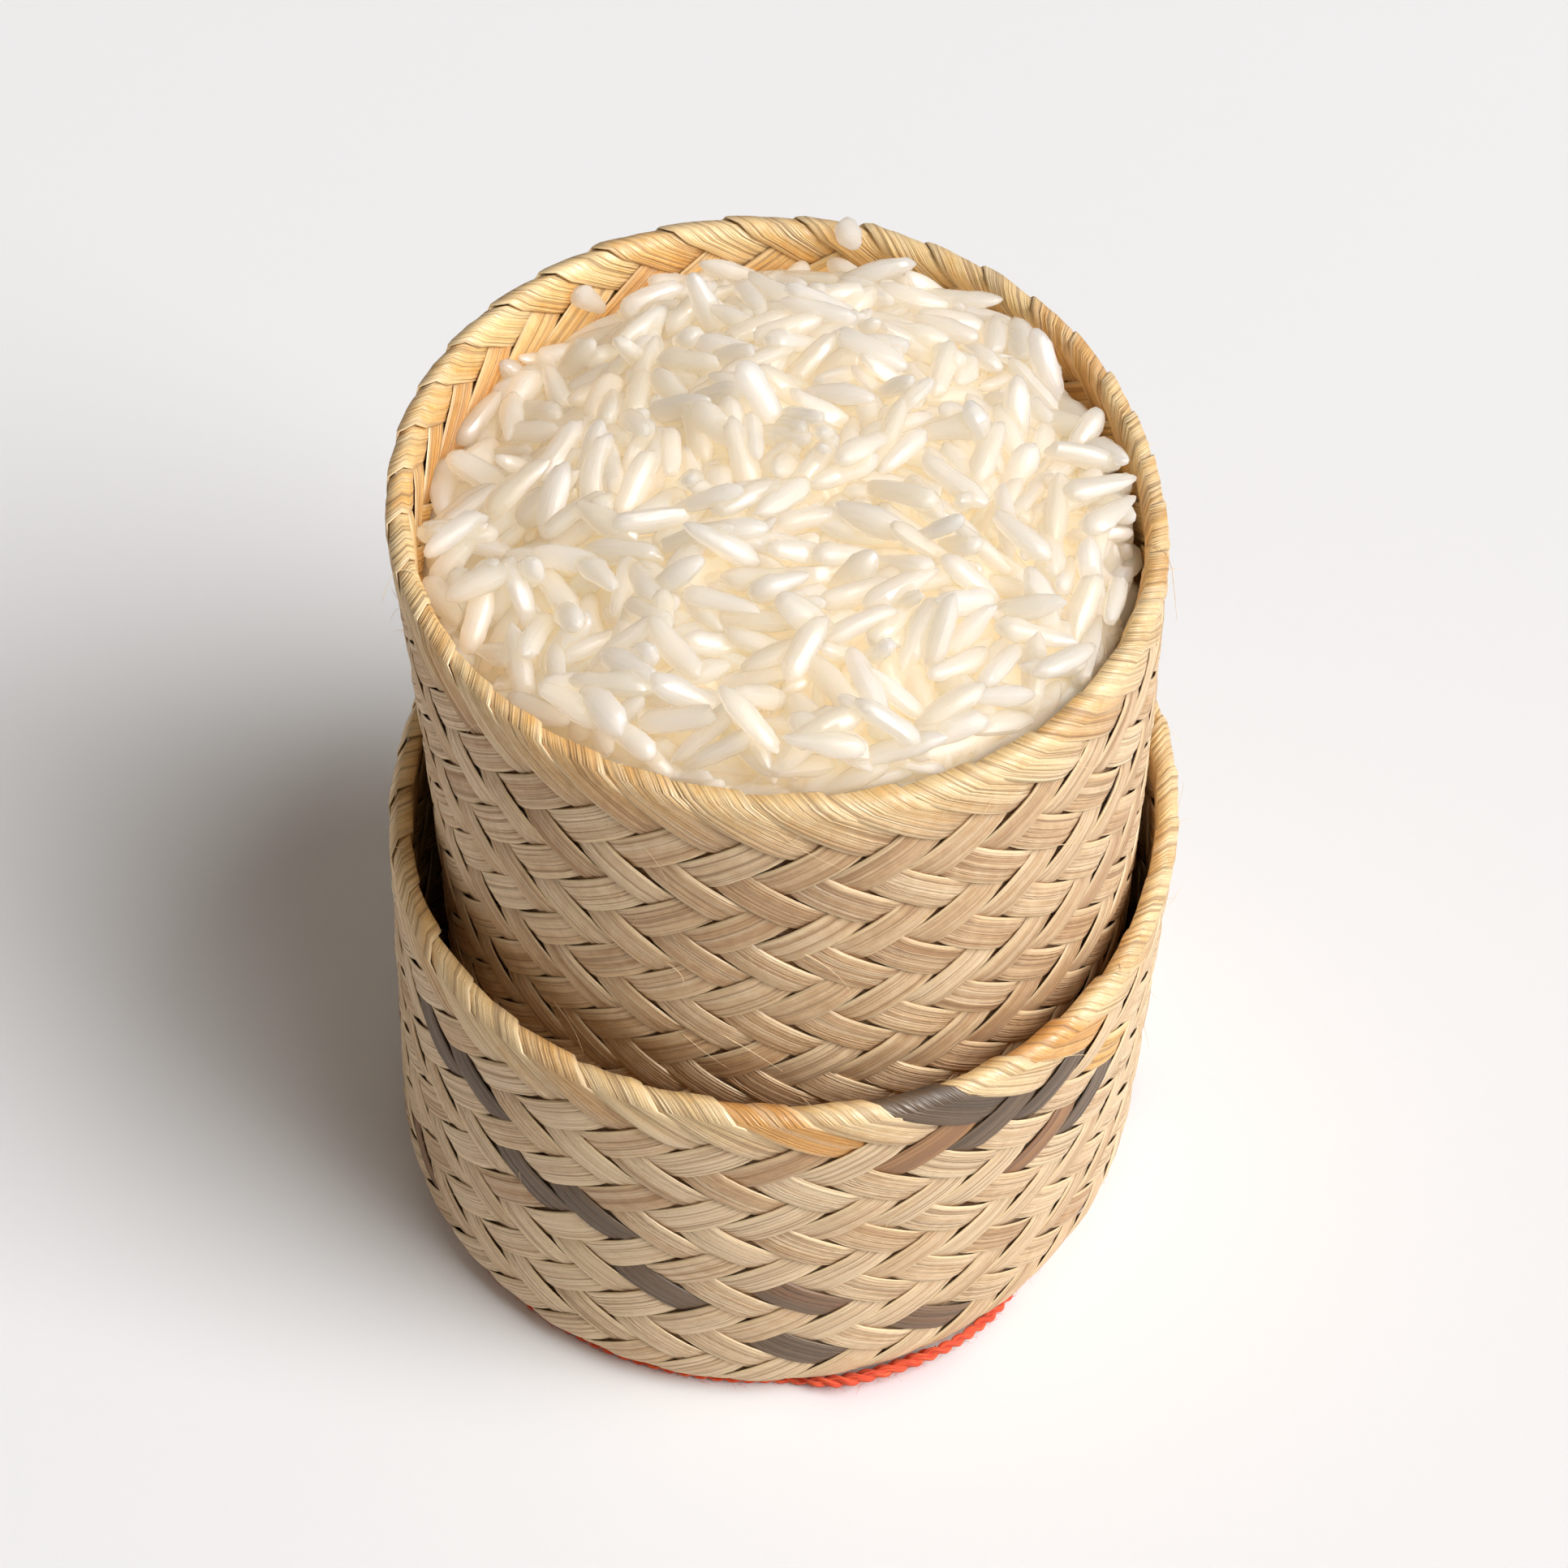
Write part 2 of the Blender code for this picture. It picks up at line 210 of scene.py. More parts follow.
def solid(name, places, faces, finish, grain=None, **marks):
    """A smooth mesh piece. grain is a UV pair for each point, and marks are values for each."""
    mesh = bpy.data.meshes.new(name)
    faces = np.asarray(faces, np.int32)
    corners = faces.shape[1]
    mesh.vertices.add(len(places))
    mesh.vertices.foreach_set("co", np.asarray(places, np.float32).ravel())
    mesh.loops.add(faces.size)
    mesh.loops.foreach_set("vertex_index", faces.ravel())
    mesh.polygons.add(len(faces))
    mesh.polygons.foreach_set("loop_start", np.arange(0, faces.size, corners, dtype=np.int32))
    mesh.update(calc_edges=True)
    if grain is not None:
        mesh.uv_layers.new(name="grain").data.foreach_set(
            "uv", np.asarray(grain, np.float32)[faces.ravel()].ravel()
        )
    for mark, values in marks.items():
        mesh.attributes.new(mark, "FLOAT", "POINT").data.foreach_set(
            "value", np.asarray(values, np.float32).ravel()
        )
    mesh.shade_smooth()
    mesh.materials.append(finish)
    piece = bpy.data.objects.new(name, mesh)
    bpy.context.scene.collection.objects.link(piece)
    return piece


def stands_for(piece, body, node):
    """The piece rides on a body, in the place of a node."""
    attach(piece, body)
    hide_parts(node)


def split_bamboo():
    """Bamboo split into thin strips and left bare. Its fibres run along the strip as fine
    ridges with brown furrows. It is straw-coloured, greyer and duller where it has aged
    outside, and golden on the folds and inside, the inside's gold being partly painted warm
    light. Where a strip goes under others it is darkened with painted shade."""
    made, tree, shader = new_material("split_bamboo")
    grain = add(tree, "ShaderNodeUVMap", uv_map="grain").outputs[0]
    marks = {
        mark: add(tree, "ShaderNodeAttribute", attribute_name=mark).outputs["Fac"]
        for mark in ("tone", "golden", "dyed", "hollow", "edge")
    }

    def along_the_fibres(across, along, detail):
        """Noise drawn out along the strip: how wide and how long one mark is."""
        place = add(tree, "ShaderNodeMapping", {"Vector": grain, "Scale": (1 / across, 1 / along, 1)})
        return add(tree, "ShaderNodeTexNoise", {
            "Vector": place.outputs[0], "Scale": 1.0, "Detail": detail, "Roughness": 0.55,
        }).outputs["Fac"]

    def spread(value, low, high, to_low, to_high):
        return add(tree, "ShaderNodeMapRange", {
            "Value": value, "From Min": low, "From Max": high, "To Min": to_low, "To Max": to_high,
        }).outputs[0]

    def blend(share, first, second):
        if isinstance(second, str):
            second = linear(second)
        return add(tree, "ShaderNodeMix", {0: share, 6: first, 7: second}, data_type="RGBA").outputs[2]

    # About ten ridges across a strip, finer fibres on them, and broad bands of growth.
    ridges = along_the_fibres(0.33 * MM, 40 * MM, 1.0)
    fibres = along_the_fibres(0.12 * MM, 10 * MM, 0.0)
    bands = along_the_fibres(1.1 * MM, 60 * MM, 2.0)
    stains = add(tree, "ShaderNodeTexNoise", {"Scale": 1 / (16 * MM), "Detail": 3.0}).outputs["Fac"]
    specks = add(tree, "ShaderNodeTexNoise", {"Scale": 1 / (2.2 * MM), "Detail": 3.0}).outputs["Fac"]

    aged = add(tree, "ShaderNodeMath", {0: stains, 1: marks["tone"]}, operation="ADD").outputs[0]
    aged = spread(aged, 0.0, 2.0, 0.0, 1.0)
    outer = add(tree, "ShaderNodeValToRGB", {"Fac": aged},
                stops=[(0.28, "#b68f68"), (0.5, "#cfaa81"), (0.72, "#e4c7a2")]).outputs["Color"]
    golden = add(tree, "ShaderNodeValToRGB", {"Fac": aged},
                 stops=[(0.28, "#dd9c4a"), (0.5, "#f0b862"), (0.74, "#f8d490")]).outputs["Color"]
    colour = blend(marks["golden"], outer, golden)
    colour = blend(spread(bands, 0.42, 0.72, 0.0, 0.5), colour, "#f0dab6")
    colour = blend(spread(bands, 0.48, 0.28, 0.0, 0.35), colour, "#aa8157")
    colour = blend(spread(ridges, 0.50, 0.34, 0.0, 0.6), colour, "#86603a")
    colour = blend(spread(fibres, 0.48, 0.30, 0.0, 0.35), colour, "#9d754b")
    colour = blend(spread(specks, 0.60, 0.74, 0.0, 0.5), colour, "#a8743f")
    # The cut edges of a strip are pale, partly from fraying and partly as a painted highlight on its raised
    # edges.
    colour = blend(spread(marks["edge"], 0.0, 1.0, 0.0, 0.5), colour, "#f0d6a8")
    # The dye took unevenly: grey-brown along most fibres, reddish brown where it is thin.
    taken = add(tree, "ShaderNodeMath", {0: bands, 1: 0.8, 2: marks["tone"]}, operation="MULTIPLY_ADD")
    dye_stops = [(0.1, "#4b3a2a"), (0.38, "#705941"), (0.62, "#8c6240"), (0.85, "#b38251")]
    dye = add(tree, "ShaderNodeValToRGB", {"Fac": spread(taken.outputs[0], 0.1, 1.7, 0.0, 1.0)},
              stops=dye_stops).outputs["Color"]
    dye = blend(spread(ridges, 0.50, 0.34, 0.0, 0.5), dye, "#2c2622")
    colour = blend(marks["dyed"], colour, dye)
    # Painted shade, dark brown, where a strip goes under those that cross it.
    colour = blend(marks["hollow"], colour, "#7a4f29")
    tree.links.new(colour, shader.inputs["Base Color"])
    tree.links.new(spread(ridges, 0.3, 0.7, 0.72, 0.44), shader.inputs["Roughness"])
    shader.inputs["IOR"].default_value = 1.5
    depth = add(tree, "ShaderNodeMath", {0: fibres, 1: 0.4, 2: ridges}, operation="MULTIPLY_ADD")
    bump = add(tree, "ShaderNodeBump", {
        "Height": depth.outputs[0], "Strength": 1.0, "Distance": 0.24 * MM})
    tree.links.new(bump.outputs[0], shader.inputs["Normal"])
    return made


def over_and_under(passed):
    """+1 where a strip lies over two others, -1 where it lies under two, by how many it has passed."""
    wave = np.sin(math.pi / 2 * passed)
    return wave * np.sqrt(1.3 / (wave**2 + 0.3))


def wander(chance, along, wavelength):
    """A slow random wave for each strip, about -1 to 1."""
    total = 0.0
    for stretch in (1.0, 0.61, 0.37):
        phase = chance.uniform(0, math.tau, (STRIPS, 1, 1))
        total = total + stretch * np.sin(math.tau * along / (wavelength * stretch) + phase)
    return total / 1.6


# The section of a strip, as shares of its width and of half its thickness: flat, with thin edges.
STRIP_SECTION = np.array([
    (-0.5, 0.0), (-0.465, 0.60), (-0.36, 0.90), (-0.18, 0.98), (0.0, 1.0), (0.18, 0.98), (0.36, 0.90),
    (0.465, 0.60), (0.5, 0.0), (0.38, -0.75), (0.0, -0.85), (-0.38, -0.75),
])
HALF_STRIP = 0.20 * MM
# How far a strip's middle lies from the leaf's, and how high the ridges on its face are.
RELIEF = 0.40 * MM
RIDGE = 0.045 * MM
STRIP_STEP = 0.95 * MM
# Over this length before the hem a strip gets flatter.
FLATTENS = 4 * MM
# The basket is tinted golden-orange from here down, at full strength past the fade.
FOOT_TINT_TOP = 48 * MM
FOOT_TINT_FADE = 14 * MM


def closed_strips(count, steps):
    """The faces of a few strips, each with so many sections and closed at both ends."""
    ring = len(STRIP_SECTION)
    index = np.arange(count * steps * ring).reshape(count, steps, ring)
    beside = np.roll(index, -1, axis=2)
    sides = np.stack([index[:, :-1], index[:, 1:], beside[:, 1:], beside[:, :-1]], -1)
    caps = np.array([(i, i + 1, ring - 2 - i, ring - 1 - i) for i in range(ring // 2 - 1)])
    starts, ends = index[:, 0][:, caps], index[:, -1][:, caps[:, ::-1]]
    return np.concatenate([part.reshape(-1, 4) for part in (sides, starts, ends)])


def strips(name, tube, way, seed, dyed=(), gilded=()):
    """The strips that fall (way 1) or rise (way -1) to the right, seen from outside. dyed and
    gilded give a strip's number, the stretch in mm down from the rim, and the tint's tone."""
    chance = np.random.default_rng(seed)
    inside, outside = tube.leaf_lengths()
    steps = round((inside + outside) / STRIP_STEP)
    down = np.linspace(-inside, outside, steps + 1)[None, :, None]
    strip = np.arange(STRIPS)[:, None, None]
    across, thick = STRIP_SECTION[:, 0], STRIP_SECTION[:, 1]
    width = chance.normal(tube.fullness, 0.018, (STRIPS, 1, 1)) + 0.022 * wander(chance, down, 31 * MM)
    if way > 0:
        # A strip spreads where it is folded over the rim.
        width = width + 0.11 * np.exp(-((down / (3.2 * MM)) ** 2))
    off = across * width + 0.024 * wander(chance, down, 43 * MM)
    turn = strip + way * ROUND_PER_METRE * down + off
    # Over the rim it passes four others before it goes under.
    lies = way * over_and_under(np.maximum(1, np.abs(2 * ROUND_PER_METRE * down + way * off - 0.5)))
    flat = np.clip((down - outside + HEM + FLATTENS) / FLATTENS, 0, 1)
    relief = RELIEF * (1 + 0.14 * wander(chance, down, 17 * MM)) * (1 - 0.45 * flat)
    proud = lies * relief + HALF_STRIP * thick * (1 - 0.3 * flat)
    proud = proud + 0.12 * MM * wander(chance, down, 23 * MM) * off
    # Broad ridges along the upper face.
    upper = (thick > 0.8)[None, None, :]
    ridge = chance.normal(0, RIDGE, (STRIPS, 1, len(across))) * (1 + 0.4 * wander(chance, down, 50 * MM))
    proud = proud + ridge * upper
    if way > 0:
        # Each fold of the rim covers the start of the next, and lower down slips under its edge.
        lean = 0.55 * np.exp(-((down / (1.7 * MM)) ** 2))
        lean = lean - 0.48 * np.exp(-(((down - 4.6 * MM) / (2.2 * MM)) ** 2))
        proud = proud + lean * MM * off
    places = tube.on_leaf(turn, down, proud)
    every = 0 * places[..., 0]
    grain = np.stack([
        (off + every) * STRIP_PITCH * math.sin(SLANT) + strip * 0.031,
        (down + every) / math.sin(SLANT) + chance.uniform(0, 1, (STRIPS, 1, 1)),
    ], -1)
    tone = chance.normal(tube.paleness, 0.24, (STRIPS, 1, 1)) + 0.14 * wander(chance, down, 60 * MM) + every
    tone = tone + 0.3 * np.exp(-((down / (3.5 * MM)) ** 2))
    # Golden over the fold and all down the inside; on the inside this is partly painted warm light.
    golden = 0.1 + 0.45 * np.clip((7 * MM - down) / (4.5 * MM), 0, 1) + every
    golden = golden + 0.45 * np.clip(0.5 - down / (2 * MM), 0, 1)
    # The basket is more golden-orange, in blotches, where it sits in the lid.
    foot_tinted = np.clip((down - FOOT_TINT_TOP) / FOOT_TINT_FADE, 0, 1) * (0.5 + 0.5 * wander(chance, down, 37 * MM))
    golden = np.clip(golden + tube.foot_tint * foot_tinted, 0, 1)
    # Painted shade, darkest where the strip goes under those that cross it.
    hollow = np.clip(0.42 - lies - 0.9 * flat, 0, 1) ** 1.3 * tube.shade_under_strips + every
    # Pale edges only where the strip lies over others: partly fraying, partly a painted highlight on the
    # raised edges.
    edge = np.where((np.abs(across) > 0.4) & (thick >= 0), 1.0, 0.0) * np.clip(lies + 0.3, 0, 1) + every
    tint = every.copy()
    for marked, mark in ((dyed, tint), (gilded, golden)):
        for number, start, stop, shade in marked:
            here = (down[0, :, 0] > start * MM) & (down[0, :, 0] < stop * MM)
            mark[number, here] = 1.0
            tone[number, here] = shade
    return solid(
        name, places.reshape(-1, 3), closed_strips(*places.shape[:2]), bamboo, grain.reshape(-1, 2),
        tone=np.clip(tone, 0, 1), golden=np.clip(golden, 0, 1), hollow=hollow, edge=edge, dyed=tint,
    )


def swept(route, out, up, radius, sides):
    """Points and faces of a closed tube along a route, with its cross directions given."""
    turn = np.arange(sides) * math.tau / sides
    radius = np.broadcast_to(radius, len(route))[:, None, None]
    away = np.cos(turn)[None, :, None] * out[:, None] + np.sin(turn)[None, :, None] * up[:, None]
    index = np.arange(len(route) * sides).reshape(-1, sides)
    beside = np.roll(index, -1, axis=1)
    quads = np.stack([index[:-1], beside[:-1], beside[1:], index[1:]], -1).reshape(-1, 4)
    return (route[:, None] + radius * away).reshape(-1, 3), quads


FIBRE_SIDES = 4
FIBRE_POINTS = 9


def loose_fibres(name, tube, count, seed):
    """Fibres that have split off the strips' edges and stand off the wall."""
    chance = np.random.default_rng(seed)
    _, outside = tube.leaf_lengths()
    # Turn in strips, start in mm down, way, length in mm, and how many mm the end stands off.
    rows = [
        (chance.uniform(0, STRIPS),
         chance.uniform(-3, (outside - HEM) / MM - 12) if chance.uniform() < 0.7 else chance.uniform(-2, 5),
         chance.choice([-1, 1]), chance.uniform(2.5, 9), chance.uniform(0.2, 2.2))
        for _ in range(count)
    ]
    places, faces, first = [], [], 0
    part = np.linspace(0, 1, FIBRE_POINTS)
    for turn, start, way, length, stands_off in rows:
        run = part * length * MM
        down = start * MM + run * math.sin(SLANT)
        drift = chance.normal(0, 0.25) * part**2 + chance.normal(0, 0.12) * np.sin(3 * part)
        proud = 0.45 * MM + stands_off * MM * part**1.7
        route = tube.on_leaf(turn + way * ROUND_PER_METRE * (down - start * MM) + drift, down, proud)
        ahead = np.gradient(route, axis=0)
        ahead /= np.linalg.norm(ahead, axis=1, keepdims=True)
        up = np.tile([0.0, 0.0, 1.0], (len(part), 1))
        side = np.cross(ahead, up)
        side /= np.linalg.norm(side, axis=1, keepdims=True)
        thick = chance.uniform(0.035, 0.06) * MM * (1.1 - 0.8 * part)
        ring, quads = swept(route, side, np.cross(side, ahead), thick, FIBRE_SIDES)
        last = len(ring) - FIBRE_SIDES
        caps = np.array([[0, 3, 2, 1], [last, last + 1, last + 2, last + 3]])
        places.append(ring)
        faces.append(np.concatenate([quads, caps]) + first)
        first += len(ring)
    grain = np.zeros((first, 2))
    grain[:, 0] = np.repeat(chance.uniform(0, 1, count), FIBRE_POINTS * FIBRE_SIDES)
    return solid(
        name, np.concatenate(places), np.concatenate(faces), bamboo, grain, tone=np.full(first, 0.9),
        golden=np.full(first, 0.5), hollow=np.zeros(first), edge=np.ones(first), dyed=np.zeros(first),
    )


bamboo = split_bamboo()
lid = Tube(
    height=56.7 * MM, foot_radius=44.849 * MM, rim_radius=45.454 * MM,
    stands=(-0.204, 0.437, 0), rim_drift=(1.8, -1.5), bow=(0, 0),
    foot_waves=((2, 0.022, 56), (3, 0.010, 40)), rim_waves=((2, 0.036, 90), (4, 0.008, 37)),
    first_strip=-0.35, paleness=0.8, shade_under_strips=0.45, fullness=0.99, foot_tint=0.0,
)
# The dyed strips and the golden ones: number, start and stop in mm below the rim, and tone.
DYED_FALLING = (
    (19, 9, 52, 0.25), (20, 9, 30, 0.2), (21, 31, 52, 0.45), (29, -4, 9, 0.1), (4, 9, 41, 0.3),
    (5, 9, 30, 0.3), (12, 20, 52, 0.6),
)
DYED_RISING = (
    (31, 4, 15, 0.85), (32, 4, 15, 0.3), (33, 4, 15, 0.15), (35, 15, 26, 0.8), (0, 15, 26, 0.2),
    (9, 15, 47, 0.4), (10, 26, 57, 0.2),
)
GILDED_FALLING = ((27, -4, 8, 0.1), (31, -4, 8, 0.15), (30, 9, 20, 0.4), (8, -4, 8, 0.1), (15, -4, 8, 0.3))
for direction, way, seed, dyed, gilded in (
    ("falling", 1, 11, DYED_FALLING, GILDED_FALLING), ("rising", -1, 12, DYED_RISING, ()),
):
    piece = strips(f"lid_strips_{direction}", lid, way, seed, dyed, gilded)
    stands_for(piece, "lid", "lid_wall")
stands_for(loose_fibres("lid_loose_fibres", lid, 34, 13), "lid", "lid_wall")

# The basket's wall. It is plaited and folded as the lid's is, taller and undyed.
basket = Tube(
    height=95.6 * MM, foot_radius=38.8 * MM, rim_radius=42.0 * MM,
    stands=(0.296, 0.537, 2.8), rim_drift=(0.4, 1.0), bow=(1.2, -0.4),
    foot_waves=((2, 0.015, -78),), rim_waves=((2, 0.055, -78), (3, 0.007, -45)),
    first_strip=0.1, paleness=0.52, shade_under_strips=0.62, fullness=0.982, foot_tint=0.7,
)
for direction, way, seed in (("falling", 1, 21), ("rising", -1, 22)):
    piece = strips(f"basket_strips_{direction}", basket, way, seed)
    stands_for(piece, "basket", "basket_wall")
stands_for(loose_fibres("basket_loose_fibres", basket, 60, 23), "basket", "basket_wall")

# The basket's disc and the lid's: a flat piece plaited from the same strips, cut round and laid
# in the foot, where the turned-in edge of the wall holds it from below.
DISC_LOW = 1.3 * MM
DISC_HIGH = 2.5 * MM
DISC_MIDDLE = (DISC_LOW + DISC_HIGH) / 2
DISC_UNDER_WALL = 3.0 * MM
DISC_STRIP = 4.3 * MM
DISC_RELIEF = 0.30 * MM
HALF_DISC_STRIP = 0.16 * MM
DISC_STEP = 0.9 * MM
# The plait runs slantwise to the photograph's view.
DISC_TURN = (0.82, 0.57)


def plaited_disc(name, tube, seed):
    """The disc's strips, both ways. Each is cut off where the disc's round edge is."""
    chance = np.random.default_rng(seed)
    edge = tube.outside(CORNER) - CORNER + DISC_UNDER_WALL
    count = int(edge / DISC_STRIP)
    across, thick = STRIP_SECTION[:, 0], STRIP_SECTION[:, 1]
    places, faces, grain, tones, hollows, first = [], [], [], [], [], 0
    for way in (-1, 1):
        for number in range(-count, count + 1):
            middle = (number + 0.03 * chance.normal()) * DISC_STRIP
            wide = chance.normal(0.95, 0.02)
            reach = math.sqrt(edge**2 - (abs(number) * DISC_STRIP) ** 2)
            along = np.linspace(-reach, reach, max(4, round(2 * reach / DISC_STEP)))[:, None]
            aside = middle + across * wide * DISC_STRIP + 0 * along
            # Over two and under two, one further along with each strip.
            passed = along / DISC_STRIP - number * way + (way > 0)
            lies = way * over_and_under(passed + 0.5)
            height = DISC_MIDDLE + DISC_RELIEF * lies + HALF_DISC_STRIP * thick
            along = along + 0 * aside
            flat_x, flat_y = (along, aside) if way > 0 else (aside, along)
            x = DISC_TURN[0] * flat_x - DISC_TURN[1] * flat_y
            y = DISC_TURN[1] * flat_x + DISC_TURN[0] * flat_y
            radius = np.minimum(np.hypot(x, y), edge)
            strip = tube.place(radius, np.arctan2(y, x), height).reshape(-1, 3)
            own = closed_strips(1, len(along))[:, ::-way] + first
            places.append(strip)
            faces.append(own)
            grain.append(np.stack([aside - middle + 0.031 * number + (way > 0), along], -1).reshape(-1, 2))
            tones.append(np.full(len(strip), np.clip(chance.normal(0.5, 0.2), 0, 1)))
            # Painted shade where the strip goes under another.
            hollows.append((np.clip(0.2 - lies, 0, 1) ** 1.5 * 0.7 + 0 * aside).ravel())
            first += len(strip)
    return solid(
        name, np.concatenate(places), np.concatenate(faces), bamboo, np.concatenate(grain),
        tone=np.concatenate(tones), hollow=np.concatenate(hollows), golden=np.full(first, 0.8),
        edge=np.zeros(first), dyed=np.zeros(first),
    )


for body, tube, seed in (("lid", lid, 31), ("basket", basket, 32)):
    stands_for(plaited_disc(f"{body}_plaited_disc", tube, seed), body, f"{body}_disc")

# The yarns: two plies of red wool, wound once round the corner of the foot and sewn down. The
# end lies over the start for nearly 2 cm. Loose fibres stand off it.
YARN = 1.5 * MM
YARN_SEAT = 0.3 * MM
YARN_ABOVE_FOOT = 0.15 * MM
YARN_START = math.radians(-64)
YARN_OVERLAP = math.radians(22)
YARN_CLIMB = math.radians(9)
YARN_STEP = 0.36 * MM
PLY = 0.42 * MM
PLY_TURN = 3.9 * MM
PLY_SIDES = 10
# It is slack for a little at the front, and pressed flat under the corner elsewhere.
SLACK_AT = math.radians(-67)
SLACK_HALF = math.radians(10)
SLACK_ENDS = math.radians(13)
PRESSED_OUT = 2.95 * MM
PRESSED_HEIGHT = 0.42 * MM
WOOL_FIBRES = 900
WOOL_FIBRE = 0.022 * MM


def wool():
    """Wool yarn, dyed orange-red: matt, with a soft sheen. Its fibres, 0.2 mm apart where real
    ones are finer, run slantwise round each ply and are darker between."""
    made, tree, shader = new_material("dyed_wool")
    grain = add(tree, "ShaderNodeUVMap", uv_map="grain").outputs[0]
    place = add(tree, "ShaderNodeMapping", {
        "Vector": grain, "Rotation": (0, 0, math.radians(28)), "Scale": (1 / (0.2 * MM), 1 / (2.2 * MM), 1)})
    fibres = add(tree, "ShaderNodeTexNoise", {
        "Vector": place.outputs[0], "Scale": 1.0, "Detail": 2.0}).outputs["Fac"]
    uneven = add(tree, "ShaderNodeTexNoise", {"Scale": 1 / (6 * MM), "Detail": 2.0}).outputs["Fac"]
    lit = add(tree, "ShaderNodeValToRGB", {"Fac": fibres},
              stops=[(0.32, "#b8240c"), (0.5, "#e2471a"), (0.68, "#f5733a")]).outputs["Color"]
    share = add(tree, "ShaderNodeMapRange", {
        "Value": uneven, "From Min": 0.45, "From Max": 0.7, "To Min": 0.0, "To Max": 0.5}).outputs[0]
    colour = add(tree, "ShaderNodeMix", {0: share, 6: lit, 7: linear("#c22f12")}, data_type="RGBA")
    tree.links.new(colour.outputs[2], shader.inputs["Base Color"])
    shader.inputs["Roughness"].default_value = 0.92
    shader.inputs["Sheen Weight"].default_value = 0.5
    shader.inputs["Sheen Tint"].default_value = linear("#ff9a68")
    bump = add(tree, "ShaderNodeBump", {"Height": fibres, "Strength": 0.9, "Distance": 0.08 * MM})
    tree.links.new(bump.outputs[0], shader.inputs["Normal"])
    return made


def edge_yarn(name, tube, seed):
    """Both plies of one yarn, and its loose fibres."""
    chance = np.random.default_rng(seed)
    to_yarn = CORNER + YARN_SEAT + YARN / 2
    low = -math.asin((CORNER - YARN_ABOVE_FOOT - YARN / 2) / to_yarn)
    climb = (YARN + YARN_SEAT) / to_yarn
    corner_radius = tube.outside(CORNER) - CORNER
    length = math.tau + YARN_OVERLAP
    run = length * (corner_radius + to_yarn)
    along = np.linspace(0, length, round(run / YARN_STEP))
    climbed = np.clip((along - math.tau + YARN_CLIMB) / YARN_CLIMB, 0, 1)
    tilt = low + climb * climbed**2 * (3 - 2 * climbed)
    angle = YARN_START - along
    from_slack = np.abs((angle - SLACK_AT + math.pi) % math.tau - math.pi)
    tucked = np.clip((from_slack - SLACK_HALF) / SLACK_ENDS, 0, 1)
    tucked = tucked**2 * (3 - 2 * tucked)
    pressed_flat = 1 - 0.5 * tucked
    radius = corner_radius + to_yarn * np.cos(tilt) * (1 - tucked) + PRESSED_OUT * tucked
    height = (CORNER + to_yarn * np.sin(tilt)) * (1 - tucked) + PRESSED_HEIGHT * tucked
    middle = tube.place(radius, angle, height)
    out = np.stack([np.cos(angle), np.sin(angle), 0 * angle], -1)
    up = np.broadcast_to([0.0, 0.0, 1.0], out.shape)
    metres = along * (corner_radius + to_yarn)
    ends = np.clip(np.minimum(metres, run - metres) / (2.5 * MM), 0.25, 1)
    thick = 1 + 0.06 * np.sin(metres / (5.3 * MM)) + 0.05 * np.sin(metres / (2.1 * MM) + 1)
    places, faces, grain, first = [], [], [], 0
    for ply in (0, 1):
        twist = (math.tau * metres / PLY_TURN + math.pi * ply)[:, None]
        route = middle + (YARN / 2 - PLY) * thick[:, None] * (
            np.cos(twist) * out + np.sin(twist) * pressed_flat[:, None] ** 1.5 * up)
        points, quads = swept(route, out, up, PLY * thick * ends * pressed_flat, PLY_SIDES)
        places.append(points)
        faces.append(quads + first)
        around = np.arange(PLY_SIDES) / PLY_SIDES * math.tau * PLY
        marks = np.broadcast_arrays(around[None], metres[:, None] + 0.4 * ply)
        grain.append(np.stack(marks, -1).reshape(-1, 2))
        first += len(points)
    # The fibres are about 1 mm long.
    for _ in range(WOOL_FIBRES):
        spot = chance.integers(4, len(middle) - 4)
        turn = chance.uniform(-0.9, 2.4)
        away = math.cos(turn) * out[spot] + math.sin(turn) * up[spot]
        start = middle[spot] + 0.8 * YARN / 2 * away
        ahead = middle[spot + 1] - middle[spot - 1]
        ahead /= np.linalg.norm(ahead)
        lean = ahead * chance.normal(0, 1.2) + away * (1 - 0.8 * tucked[spot]) + chance.normal(0, 0.35, 3)
        lean /= np.linalg.norm(lean)
        curl = chance.normal(0, 0.6, 3)
        reach = chance.uniform(0.5, 1.3) * MM
        part = np.linspace(0, 1, 4)[:, None]
        route = start + reach * (part * lean + part**2 * curl * 0.5)
        route[:, 2] = np.maximum(route[:, 2], tube.stands[2] * MM + 0.05 * MM)
        points, quads = swept(route, np.tile(out[spot], (4, 1)), np.tile(up[spot], (4, 1)),
                              WOOL_FIBRE * np.array([1, 0.9, 0.7, 0.3]), 3)
        places.append(points)
        faces.append(quads + first)
        grain.append(np.zeros((len(points), 2)))
        first += len(points)
    return solid(name, np.concatenate(places), np.concatenate(faces), red_wool, np.concatenate(grain))


red_wool = wool()
for body, tube, seed in (("lid", lid, 41), ("basket", basket, 42)):
    stands_for(edge_yarn(f"{body}_two_ply_yarn", tube, seed), body, f"{body}_edge_yarn")

